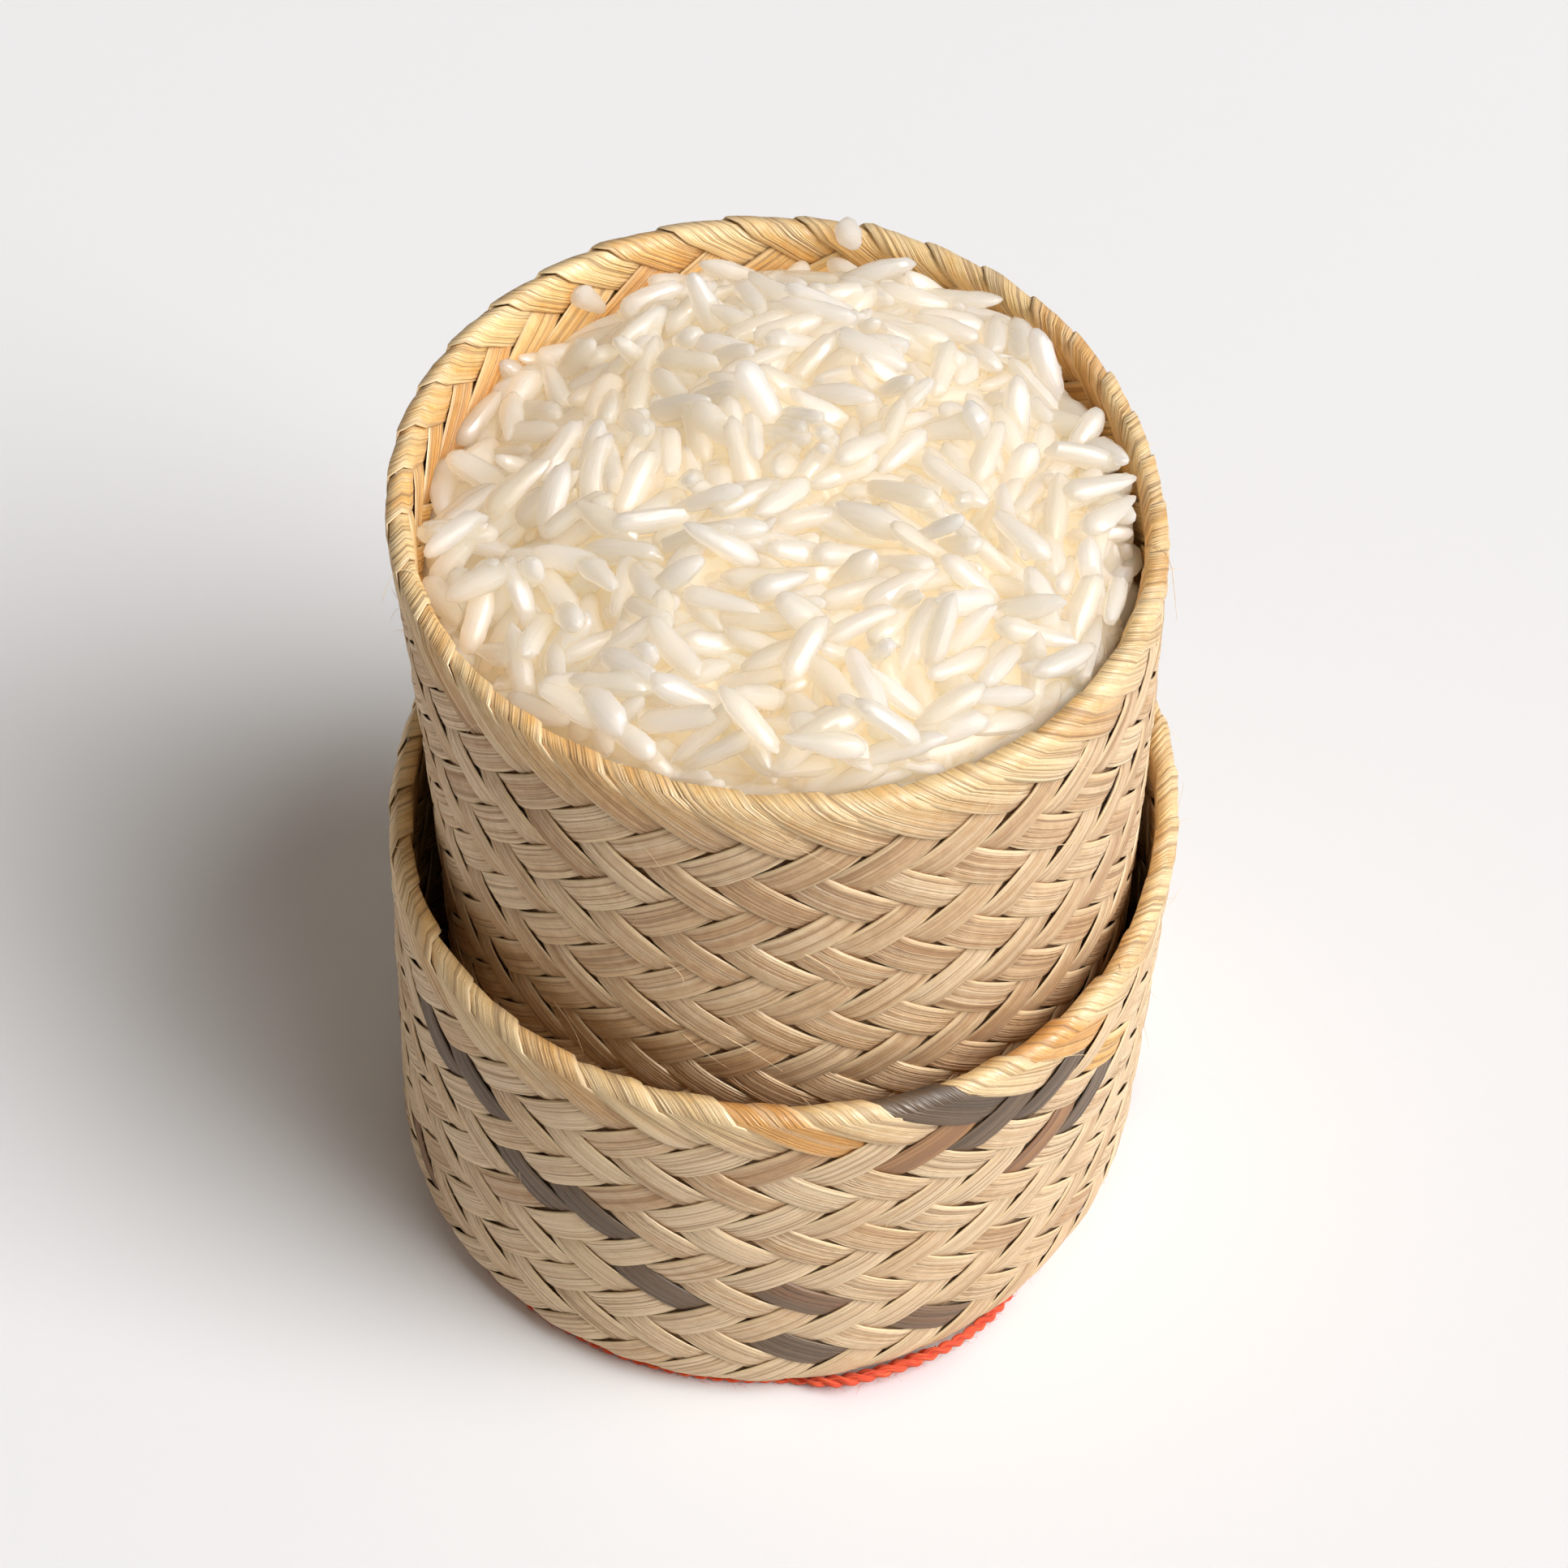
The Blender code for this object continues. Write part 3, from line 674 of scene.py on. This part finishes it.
# The rice: long grains of steamed sticky rice, pressed into the basket by hand and heaped. They
# cling together, so that each one is sunk a little into those under it. It comes out in one
# lump, with the grains that were pressed flat against the wall and the disc on its outside.
GRAIN = 8.3 * MM
GRAIN_WIDE = 2.75 * MM
FURROW = 0.4 * MM
RICE_GAP = 1.1 * MM
RICE_FOOT = DISC_HIGH + 0.3 * MM
# The level of the basket's foot, below the middle of its rim. The heap is shaped about it.
RICE_PLACE = np.array([
    basket.stands[0] + basket.rim_drift[0], basket.stands[1] + basket.rim_drift[1], basket.stands[2]]) * MM


def cooked_rice(name, shade):
    """Cooked sticky rice: moist, smooth and glossy, ivory, and so translucent that light goes
    several millimetres into it. Deep in the lump and in the creases between grains it is painted
    pale ochre, as warm light that has been through many grains. A grain glows where light comes
    from behind, and the light that goes on through it has the shade's colour."""
    made, tree, shader = new_material(name)
    tone = add(tree, "ShaderNodeAttribute", attribute_name="tone").outputs["Fac"]
    deep = add(tree, "ShaderNodeAttribute", attribute_name="deep").outputs["Fac"]
    cloud = add(tree, "ShaderNodeTexNoise", {"Scale": 1 / (2.6 * MM), "Detail": 3.0}).outputs["Fac"]
    mixed = add(tree, "ShaderNodeMath", {0: cloud, 1: 0.5, 2: tone}, operation="MULTIPLY_ADD").outputs[0]
    ivory = add(tree, "ShaderNodeValToRGB", {"Fac": add(
        tree, "ShaderNodeMapRange", {"Value": mixed, "From Min": 0.1, "From Max": 1.4}).outputs[0]},
        stops=[(0.0, "#f9e7cb"), (0.35, "#fcefda"), (0.7, "#fef6e8"), (1.0, "#f7f1ea")]).outputs["Color"]
    # Painted warm light: pale ochre deep in the lump and in the creases between grains.
    colour = add(tree, "ShaderNodeMix", {0: deep, 6: ivory, 7: linear("#fbe3b6")}, data_type="RGBA")
    tree.links.new(colour.outputs[2], shader.inputs["Base Color"])
    shader.inputs["Subsurface Weight"].default_value = 1.0
    shader.inputs["Subsurface Radius"].default_value = (1.0, 0.92, 0.8)
    shader.inputs["Subsurface Scale"].default_value = 8.0 * MM
    shader.inputs["IOR"].default_value = 1.38
    # Starch has dried on it in places, which breaks up the gloss.
    fine = add(tree, "ShaderNodeTexNoise", {"Scale": 1 / (0.8 * MM), "Detail": 2.0}).outputs["Fac"]
    rough = add(tree, "ShaderNodeMapRange", {"Value": fine, "From Min": 0.35, "From Max": 0.65,
                                             "To Min": 0.16, "To Max": 0.42})
    tree.links.new(rough.outputs[0], shader.inputs["Roughness"])
    shader.inputs["Specular IOR Level"].default_value = 0.14
    shader.inputs["Coat Weight"].default_value = 0.95
    shader.inputs["Coat Roughness"].default_value = 0.05
    # Fine furrows run along each grain and break a glint into streaks, ten times as long as wide.
    on_grain = add(tree, "ShaderNodeCombineXYZ")
    for axis, mark, drawn in ((0, "across", GRAIN_WIDE / FURROW), (1, "lengthwise", GRAIN / (10 * FURROW))):
        place = add(tree, "ShaderNodeAttribute", attribute_name=mark).outputs["Fac"]
        place = add(tree, "ShaderNodeMath", {0: place, 1: drawn}, operation="MULTIPLY").outputs[0]
        tree.links.new(place, on_grain.inputs[axis])
    furrows = add(tree, "ShaderNodeTexNoise", {
        "Vector": on_grain.outputs[0], "Scale": 1.0, "Detail": 2.0}).outputs["Fac"]
    depth = add(tree, "ShaderNodeMath", {0: fine, 1: 0.5, 2: furrows}, operation="MULTIPLY_ADD")
    bump = add(tree, "ShaderNodeBump", {"Height": depth.outputs[0], "Strength": 0.7, "Distance": 0.16 * MM})
    tree.links.new(bump.outputs[0], shader.inputs["Normal"])
    wet = add(tree, "ShaderNodeBump", {"Height": depth.outputs[0], "Strength": 0.7, "Distance": 0.08 * MM})
    tree.links.new(wet.outputs[0], shader.inputs["Coat Normal"])
    glow = add(tree, "ShaderNodeBsdfTranslucent", {"Color": linear("#f9f5ef")})
    body = add(tree, "ShaderNodeMixShader", {0: 0.28, 1: shader.outputs[0], 2: glow.outputs[0]})
    through = add(tree, "ShaderNodeBsdfTransparent", {"Color": linear(shade)})
    to_lamp = add(tree, "ShaderNodeLightPath").outputs["Is Shadow Ray"]
    both = add(tree, "ShaderNodeMixShader", {0: to_lamp, 1: body.outputs[0], 2: through.outputs[0]})
    tree.links.new(both.outputs[0], tree.nodes["Material Output"].inputs["Surface"])
    return made


# From this depth on rice is painted pale ochre, as warm light deep in the lump, and creases sharper than this
# show.
DEEP_FROM = 0.4 * MM
DEEP_FADE = 3.0 * MM
CREASE = math.radians(46)


def grain_shape(rings, sides):
    """A grain along X, 1 long and 1 wide: one end round, the other cut off slantwise where the
    germ was. Its points and triangles."""
    along = -np.cos(np.linspace(0, math.pi, rings + 2)[1:-1])
    turn = np.arange(sides) * math.tau / sides
    wide = (1 - np.abs(along) ** 2.9) ** 0.52 * (1 - 0.15 * along)
    x = np.repeat(along / 2, sides)
    y = np.outer(wide, np.cos(turn)).ravel() / 2
    z = np.outer(wide, np.sin(turn)).ravel() / 2 * 0.74
    x = np.minimum(x, 0.47 - 0.22 * np.maximum(0, y + 0.2))
    points = np.concatenate([np.stack([x, y, z], -1), [(-0.5, 0, 0), (0.45, -0.02, 0)]])
    index = np.arange(rings * sides).reshape(rings, sides)
    beside = np.roll(index, -1, axis=1)
    near, far = index[:-1], index[1:]
    faces = [np.stack([near, beside[:-1], far], -1), np.stack([beside[:-1], beside[1:], far], -1)]
    low, high = rings * sides, rings * sides + 1
    faces.append(np.stack([np.full(sides, low), beside[0], index[0]], -1)[None])
    faces.append(np.stack([np.full(sides, high), index[-1], beside[-1]], -1)[None])
    return points, np.concatenate([part.reshape(-1, 3) for part in faces])


def grains(shape, middles, headings, ups, lengths, widths, chance):
    """The points of many grains, each a little bent, lumpy and uneven in its own way."""
    count = len(middles)
    phase = chance.uniform(0, math.tau, (count, 6, 1))
    x, y, z = (shape[0][None, :, axis] for axis in range(3))
    flip = chance.choice([-1.0, 1.0], (count, 1))
    uneven = 1 + 0.07 * np.sin(8 * x + phase[:, 0]) + 0.05 * np.sin(15 * x + phase[:, 1])
    # Faint flat sides along it, as on the raw grain.
    round_it = np.arctan2(z, y)
    sided = 1 + 0.05 * np.cos(4 * round_it + phase[:, 2]) + 0.03 * np.cos(7 * round_it + phase[:, 3])
    uneven = uneven * sided
    bend = chance.normal(0, 0.28, (count, 2, 1))
    taper = 1 + chance.normal(0, 0.2, (count, 1)) * x * 2
    y = y * uneven * taper + bend[:, 0] * (x**2 - 0.08)
    z = z * uneven * taper + bend[:, 1] * 0.5 * (x**2 - 0.08)
    side = np.cross(ups, headings)
    side /= np.linalg.norm(side, axis=1, keepdims=True)
    ups = np.cross(headings, side)
    return (middles[:, None]
            + (lengths[:, None] * x * flip)[..., None] * headings[:, None]
            + (widths[:, None] * y * flip)[..., None] * side[:, None]
            + (widths[:, None] * z)[..., None] * ups[:, None])


def mouth(angle, inset):
    """The radius inside the basket's wall near its rim, less an inset."""
    return (basket.outside(basket.height) - WALL - inset) * basket.crushed(angle, 1)


# The heap: how far its middle stands over the basket's rim, how far its edge lies under the rim,
# and how high its lumps are.
CROWN = 2.5 * MM
EDGE_DROP = 5.6 * MM
LUMP = 0.9 * MM
# The crown ends in a steep slope on this side, and a low shelf lies before the wall.
SHELF_SIDE = math.radians(158)


def heap(x, y):
    """The height that the heaped grains reach, over the basket's foot."""
    angle = np.arctan2(y, x)
    on_shelf_side = np.maximum(0, np.cos(angle - SHELF_SIDE))
    across = np.minimum(1, np.hypot(x, y) / mouth(angle, RICE_GAP))
    # The edge lies deepest at the left, and least deep at the front.
    drop = EDGE_DROP + 3.3 * MM * np.cos(angle - math.radians(148)) + 2.5 * MM * np.cos(2 * angle)
    drop = drop + 2.4 * MM * np.maximum(0, np.sin(angle)) + 2.4 * MM * on_shelf_side**2
    shelf = np.clip((across - 0.50) / 0.20, 0, 1)
    shelf = shelf**2 * (3 - 2 * shelf) * on_shelf_side**1.2
    edge = np.maximum(across**2.2, 0.62 * shelf)
    lumps = np.sin(math.tau * x / (15 * MM)) * np.cos(math.tau * y / (15 * MM))
    lumps = lumps + 0.6 * np.sin(math.tau * (x + y) / (23 * MM) + 1)
    return basket.height + CROWN * (1 - edge) - drop * edge + LUMP * lumps * (1 - across**4)


def rice_depth(places):
    """How deep each point lies in the lump, from its top, its side or its foot."""
    level = places[:, 2] - basket.stands[2] * MM
    middle = basket.place(0 * level, 0 * level, level)
    out = places - middle
    side = basket.outside(level) - WALL - RICE_GAP
    side = basket.place(side, np.arctan2(out[:, 1], out[:, 0]), level) - middle
    from_side = np.hypot(side[:, 0], side[:, 1]) - np.hypot(out[:, 0], out[:, 1])
    from_top = heap(places[:, 0] - RICE_PLACE[0], places[:, 1] - RICE_PLACE[1]) - level
    return np.minimum(np.minimum(from_top, from_side), level - RICE_FOOT)


def cling(name, core, shape, loose, finish, chance):
    """Grains and what fills the room between them, as one skin with creases where grains meet,
    because cooked grains stick and let light through from one to the next."""
    tones = np.clip(chance.normal(0.45, 0.28, len(loose)), 0, 1)
    # A boolean works more exactly on numbers of this size, so it runs in millimetres.
    heap_of_grains = bpy.data.collections.new(name)
    for number, (own, tone) in enumerate(zip(loose, tones)):
        one = solid("grain", own / MM, shape[1], finish, tone=np.full(len(own), tone),
                    lengthwise=shape[0][:, 0] + number, across=shape[0][:, 1])
        bpy.context.scene.collection.objects.unlink(one)
        heap_of_grains.objects.link(one)
    nothing = np.zeros(len(core[0]))
    filling = solid("filling", core[0] / MM, core[1], finish, tone=nothing + 0.45,
                    lengthwise=nothing, across=nothing)
    join = filling.modifiers.new("cling", "BOOLEAN")
    join.operation = "UNION"
    join.operand_type = "COLLECTION"
    join.collection = heap_of_grains
    join.solver = "MANIFOLD"
    skin = bpy.data.meshes.new_from_object(filling.evaluated_get(bpy.context.evaluated_depsgraph_get()))
    for one in [filling, *heap_of_grains.objects]:
        left = one.data
        bpy.data.objects.remove(one)
        bpy.data.meshes.remove(left)
    bpy.data.collections.remove(heap_of_grains)
    skin.transform(Matrix.Scale(MM, 4))
    places = np.empty(len(skin.vertices) * 3, np.float32)
    skin.vertices.foreach_get("co", places)
    # Painted warm light, by depth in the lump.
    deep = np.clip((rice_depth(places.reshape(-1, 3)) - DEEP_FROM) / DEEP_FADE, 0, 1)
    skin.attributes.new("deep", "FLOAT", "POINT").data.foreach_set("value", deep.astype(np.float32))
    skin.shade_smooth()
    skin.set_sharp_from_angle(angle=CREASE)
    skin.materials.clear()
    skin.materials.append(finish)
    skin.name = name
    piece = bpy.data.objects.new(name, skin)
    bpy.context.scene.collection.objects.link(piece)
    return piece


# The heap's height map, how deep under its top the first grains are laid, and how near to the
# wall they may come.
CELL = 0.3 * MM
REACH = 46 * MM
LAID_DEEP = 6.0 * MM
AT_WALL = 0.2 * MM
# How many there are, each laid at the best of some chance places, and the share that stand up.
TOP_GRAINS = 1650
TRIED_SPOTS = 40
STANDING = 0.12


def cell(place):
    return ((place + REACH) / CELL).astype(int)


def lowest_spot(wanted, top, chance):
    """Of some chance places in the mouth, the one where most rice is wanting, and how far out it
    lies, from 0 to 1."""
    angles = chance.uniform(0, math.tau, TRIED_SPOTS)
    outward = np.sqrt(chance.uniform(0, 0.98, TRIED_SPOTS))
    room = mouth(angles, AT_WALL + 0.7 * MM) * outward
    x, y = room * np.cos(angles), room * np.sin(angles)
    spots = cell(x), cell(y)
    best = np.argmax(wanted[spots] - top[spots])
    return x[best], y[best], outward[best]


def off_the_wall(x, y, heading, long, wide):
    """A grain's middle, moved in until its tips are clear of the wall."""
    for _ in range(14):
        tips = [(x + s * long / 2 * math.cos(heading), y + s * long / 2 * math.sin(heading)) for s in (-1, 1)]
        far = max(tips, key=lambda tip: math.hypot(*tip))
        bearing = math.atan2(far[1], far[0])
        past = math.hypot(*far) + 0.35 * wide - mouth(bearing, AT_WALL)
        if past <= 0:
            break
        x -= past * math.cos(bearing)
        y -= past * math.sin(bearing)
    return x, y


def settle(chance):
    """Drops grains one at a time on the heap. Each lands where the heap is lowest, with its two
    halves resting on what is there, and is sunk into it a little. Gives the grains' middles,
    headings, lengths and widths, and the height map that they make."""
    axis = np.arange(-REACH, REACH, CELL)
    grid_x, grid_y = np.meshgrid(axis, axis, indexing="ij")
    wanted = heap(grid_x, grid_y)
    top = wanted - LAID_DEEP
    found = []
    for _ in range(TOP_GRAINS):
        length = GRAIN * np.clip(chance.normal(1.03, 0.08), 0.6, 1.2)
        wide = GRAIN_WIDE * np.clip(chance.normal(0.97, 0.09), 0.75, 1.2)
        x, y, outward = lowest_spot(wanted, top, chance)
        # Neighbours lie much the same way.
        heading = 1.8 * math.sin(x / (13 * MM) + 1.3) + 1.8 * math.sin(y / (11 * MM) - x / (19 * MM))
        heading += chance.normal(0, 0.42)
        # A grain near the wall turns along it, or it would go through.
        if outward > 0.86 and chance.uniform() < 0.7:
            heading = math.atan2(y, x) + math.pi / 2 + chance.normal(0, 0.4)
        # Some stand up between the others, away from the wall.
        steep = chance.uniform(0.5, 1.05) * chance.choice([-1, 1]) if chance.uniform() < STANDING else 0
        steep = steep if outward < 0.8 else 0
        long = length * math.cos(steep)
        x, y = off_the_wall(x, y, heading, long, wide)
        rows = slice(cell(x - length / 2) - 2, cell(x + length / 2) + 3)
        columns = slice(cell(y - length / 2) - 2, cell(y + length / 2) + 3)
        from_x, from_y = grid_x[rows, columns] - x, grid_y[rows, columns] - y
        forward = from_x * math.cos(heading) + from_y * math.sin(heading)
        aside = -from_x * math.sin(heading) + from_y * math.cos(heading)
        under = 1 - (2 * forward / long) ** 2 - (2 * aside / wide) ** 2
        here = top[rows, columns]
        halves = (under > 0.1) & (forward < 0), (under > 0.1) & (forward > 0)
        back, front = [np.percentile(here[half], 75) if half.any() else here.mean() for half in halves]
        if steep:
            tilt = steep
            middle = (back + front) / 2 - 0.05 * length
        else:
            tilt = math.atan(np.clip((front - back) / (0.5 * length), -0.8, 0.8)) + chance.normal(0, 0.17)
            middle = (back + front) / 2 + 0.06 * wide
        surface = middle + math.tan(np.clip(tilt, -0.8, 0.8)) * forward
        surface = surface + 0.4 * wide * np.sqrt(np.maximum(0, under))
        covered = under > 0
        here[covered] = np.maximum(here[covered], surface[covered])
        found.append((x, y, middle, heading, tilt, length, wide))
    for _ in range(3):
        top = (np.roll(top, 2, 0) + np.roll(top, -2, 0) + np.roll(top, 2, 1) + np.roll(top, -2, 1) + top) / 5
    x, y, middle, heading, tilt, lengths, widths = np.array(found).T
    level = np.cos(tilt)
    headings = np.stack([np.cos(heading) * level, np.sin(heading) * level, np.sin(tilt)], -1)
    return np.stack([x, y, middle], -1) + RICE_PLACE, headings, lengths, widths, top


def closed_of_rings(places):
    """Points and triangles of a closed solid, from rings that begin and end in a point."""
    index = np.arange(places.shape[0] * places.shape[1]).reshape(places.shape[:2])
    index[0], index[-1] = index[0, 0], index[-1, 0]
    beside = np.roll(index, -1, axis=1)
    near = np.stack([index[:-1], beside[:-1], beside[1:]], -1).reshape(-1, 3)
    far = np.stack([index[:-1], beside[1:], index[1:]], -1).reshape(-1, 3)
    faces = np.concatenate([near, far])
    proper = (faces[:, 0] != faces[:, 1]) & (faces[:, 1] != faces[:, 2]) & (faces[:, 0] != faces[:, 2])
    used, faces = np.unique(faces[proper], return_inverse=True)
    return places.reshape(-1, 3)[used], faces.reshape(-1, 3)


def rice_core():
    """The mass inside the lump, which shows only as what lies deep between the grains."""
    turns = np.arange(96) / 96 * math.tau
    inset = RICE_GAP + 1.3 * MM
    foot = RICE_FOOT + 1.2 * MM
    rings = [basket.place(0.0 * turns, turns, foot)]
    for level in np.linspace(foot, basket.height - 9 * MM, 24):
        bevel = 2 * MM if level == foot else 0
        rings.append(basket.place(basket.outside(level) - WALL - inset - bevel, turns, level))
    for share in (0.99, 0.96, 0.92, 0.86, 0.8, 0.72, 0.64, 0.56, 0.48, 0.4, 0.3, 0.2, 0.1, 0.0):
        x, y = mouth(turns, inset) * share * np.cos(turns), mouth(turns, inset) * share * np.sin(turns)
        high = heap(x, y) - 1.5 * MM - 1.5 * MM * share**8
        rings.append(np.stack([x, y, high], -1) + RICE_PLACE)
    return closed_of_rings(np.array(rings))


def heap_core(top):
    """What fills the heap between its grains: a closed layer just under their middles."""
    turns = np.arange(160) / 160 * math.tau
    rings = []
    shares = np.linspace(0, 0.995, 36)
    # How far out each ring lies, its inset, and how deep in mm it lies, 0 being as the grains do.
    # Its side steps in under the heap's edge, so that the grains at the wall show there.
    levels = [(share, 4.4, 30) for share in shares] + [(1, 4.0, 5)]
    levels += [(share, 0.7, 0) for share in shares[::-1]]
    for share, inset, under in levels:
        room = mouth(turns, inset * MM) * share
        x, y = room * np.cos(turns), room * np.sin(turns)
        high = heap(x, y) - under * MM
        if not under:
            laid = top[cell(x), cell(y)] - 1.3 * MM
            high = np.clip(laid, high - 3 * MM, high + 1.5 * MM) - 1.8 * MM * share**16
        rings.append(np.stack([x, y, high], -1) + RICE_PLACE)
    return closed_of_rings(np.array(rings))


# How far apart the rows of pressed grains are, at the wall and under the lump, and the grains in
# each row.
WALL_ROW = 2.9 * MM
IN_WALL_ROW = 5.6 * MM
FOOT_ROW = 4.1 * MM
IN_FOOT_ROW = 4.7 * MM


def pressed_grains(chance):
    """Grains flat against the wall and the disc, in rough rows: their middles, headings, upper
    sides, lengths and widths."""
    middles, headings, ups = [], [], []
    level = RICE_FOOT + 2.2 * MM
    while level < basket.height - 1.5 * MM:
        inner = basket.outside(level) - WALL - RICE_GAP
        count = round(math.tau * inner / IN_WALL_ROW)
        angles = (np.arange(count) + chance.uniform(0, 1)) * math.tau / count + chance.normal(0, 0.018, count)
        heights = level + chance.normal(0, 0.5 * MM, count)
        places = basket.place(inner - chance.uniform(0.5, 0.9, count) * MM, angles, heights)
        edge = heap(places[:, 0] - RICE_PLACE[0], places[:, 1] - RICE_PLACE[1]) + RICE_PLACE[2] - 0.6 * MM
        out = np.stack([np.cos(angles), np.sin(angles), 0 * angles], -1)
        round_it = np.stack([-np.sin(angles), np.cos(angles), 0 * angles], -1)
        lean = chance.uniform(-1.4, 1.4, count)[:, None]
        heading = np.cos(lean) * round_it + np.sin(lean) * [0, 0, 1]
        kept = (places[:, 2] < edge) & (heights - 4 * MM * np.abs(np.sin(lean[:, 0])) > RICE_FOOT)
        middles.append(places[kept])
        headings.append(heading[kept])
        ups.append(out[kept])
        level += WALL_ROW
    spots = np.arange(-34 * MM, 34.1 * MM, IN_FOOT_ROW)
    for row, y in enumerate(np.arange(-33 * MM, 33.1 * MM, FOOT_ROW)):
        x = spots + (row % 2) * 2.3 * MM + chance.normal(0, 0.5 * MM, len(spots))
        x = x[np.hypot(x, y) < 31.5 * MM]
        heights = RICE_FOOT + chance.uniform(1.0, 1.5, len(x)) * MM
        turn = chance.uniform(0, math.pi, len(x))
        middles.append(basket.place(np.hypot(x, y), np.arctan2(y, x), heights))
        headings.append(np.stack([np.cos(turn), np.sin(turn), 0 * turn], -1))
        ups.append(np.tile([0.0, 0.0, 1.0], (len(x), 1)))
    middles = np.concatenate(middles)
    lengths = GRAIN * np.clip(chance.normal(0.95, 0.1, len(middles)), 0.6, 1.1)
    widths = GRAIN_WIDE * np.clip(chance.normal(0.97, 0.08, len(middles)), 0.8, 1.15)
    return middles, np.concatenate(headings), np.concatenate(ups), lengths, widths


loose_rice = cooked_rice("cooked_sticky_rice", "#eeeae2")
pressed_rice = cooked_rice("pressed_sticky_rice", "#cdc2ae")
chance = np.random.default_rng(51)
shape = grain_shape(8, 10)
middles, headings, lengths, widths, top = settle(chance)
ups = np.array([0, 0, 1]) + chance.normal(0, 0.5, middles.shape)
heaped = grains(shape, middles, headings, ups, lengths, widths, chance)
pressed = grains(shape, *pressed_grains(chance), chance)
for name, core, loose, finish in (
    ("rice_grains_of_the_heap", heap_core(top), heaped, loose_rice),
    ("rice_grains_at_the_wall", rice_core(), pressed, pressed_rice),
):
    stands_for(cling(name, core, shape, loose, finish, chance), "rice", "rice")

# The stray grains: one stuck over the back of the rim with its far end down, and a bright one
# on the inner wall at the back left, above the rice.
STRAY_ANGLE = math.radians(79)
STRAY_TILT = math.radians(-35)
STRAY_TURN = math.radians(55)
rim_radius = basket.outside(basket.height)
over_rim = basket.place(rim_radius - FOLD - 1.6 * MM, STRAY_ANGLE, basket.height + 0.2 * MM)
on_wall = basket.place(rim_radius - WALL - 0.9 * MM, math.radians(121), basket.height - 4.5 * MM)
outward = np.array([math.cos(STRAY_ANGLE), math.sin(STRAY_ANGLE), 0])
along_rim = np.array([-math.sin(STRAY_ANGLE), math.cos(STRAY_ANGLE), 0])
upward = np.array([0, 0, 1])
across_fold = math.cos(STRAY_TILT) * outward - math.sin(STRAY_TILT) * upward
off_fold = math.sin(STRAY_TILT) * outward + math.cos(STRAY_TILT) * upward
heading = math.cos(STRAY_TURN) * along_rim + math.sin(STRAY_TURN) * across_fold
chance = np.random.default_rng(54)
shape, triangles = grain_shape(18, 20)
points = grains(
    (shape, triangles), np.array([over_rim, on_wall]), np.array([heading, [-0.55, -0.33, 0.77]]),
    np.array([off_fold, [0.51, -0.86, 0.0]]), np.array([4.0, 5.6]) * MM, np.array([2.6, 2.3]) * MM, chance,
).reshape(-1, 3)
piece = solid(
    "stray_rice_grains", points, np.concatenate([triangles, triangles + len(shape)]), loose_rice,
    tone=np.full(len(points), 0.7), deep=np.zeros(len(points)),
    lengthwise=np.tile(shape[:, 0], 2), across=np.tile(shape[:, 1], 2),
)
stands_for(piece, "basket", "stray_grain")

# The table: a plain, almost white top that goes on past the edge of the view.
table = solid("table", [(-40, -40, -0.0002), (40, -40, -0.0002), (40, 40, -0.0002), (-40, 40, -0.0002)],
              [(0, 1, 2, 3)], None)
painted, tree, shader = new_material("white_painted_board")
shader.inputs["Base Color"].default_value = linear("#efeff0")
shader.inputs["Roughness"].default_value = 0.7
shader.inputs["Specular IOR Level"].default_value = 0.25
table.data.materials[0] = painted

# The light: a broad upright soft box at the right, a little in front, and a pale room round it.
key = bpy.data.objects.new("soft_box", bpy.data.lights.new("soft_box", "AREA"))
key.data.shape = "RECTANGLE"
AWAY = 9.0
key.data.size = 2 * AWAY * math.tan(math.radians(25))
key.data.size_y = 2 * AWAY * math.tan(math.radians(16))
key.data.energy = 1090
key.data.color = (0.985, 0.99, 1.0)
azimuth, elevation = math.radians(-27), math.radians(46)
key.location = (AWAY * math.cos(elevation) * math.cos(azimuth),
                AWAY * math.cos(elevation) * math.sin(azimuth), AWAY * math.sin(elevation))
key.rotation_euler = (0, math.radians(90) - elevation, azimuth)
bpy.context.scene.collection.objects.link(key)
# A bare bulb beside it, which only reflections show: the small glints on what is wet.
bulb = bpy.data.objects.new("bulb", bpy.data.lights.new("bulb", "AREA"))
bulb.data.size = 1.4
bulb.data.energy = 1600
bulb.location = 0.9 * key.location
bulb.rotation_euler = key.rotation_euler
bulb.visible_diffuse = False
bulb.visible_transmission = False
bpy.context.scene.collection.objects.link(bulb)
world = bpy.context.scene.world or bpy.data.worlds.new("room")
bpy.context.scene.world = world
world.use_nodes = True
tree = world.node_tree
lit = tree.nodes["Background"]
lit.inputs["Color"].default_value = linear("#fff3e6")
lit.inputs["Strength"].default_value = 0.19
# The camera and reflections see the room as pale as the table.
seen = add(tree, "ShaderNodeBackground", {"Color": linear("#f0efed"), "Strength": 1.0})
path = add(tree, "ShaderNodeLightPath").outputs
straight = path["Is Camera Ray"]
for ray in ("Is Glossy Ray", "Is Transmission Ray"):
    straight = add(tree, "ShaderNodeMath", {0: straight, 1: path[ray]}, operation="MAXIMUM").outputs[0]
room = add(tree, "ShaderNodeMixShader", {0: straight, 1: lit.outputs[0], 2: seen.outputs[0]})
tree.links.new(room.outputs[0], tree.nodes["World Output"].inputs["Surface"])
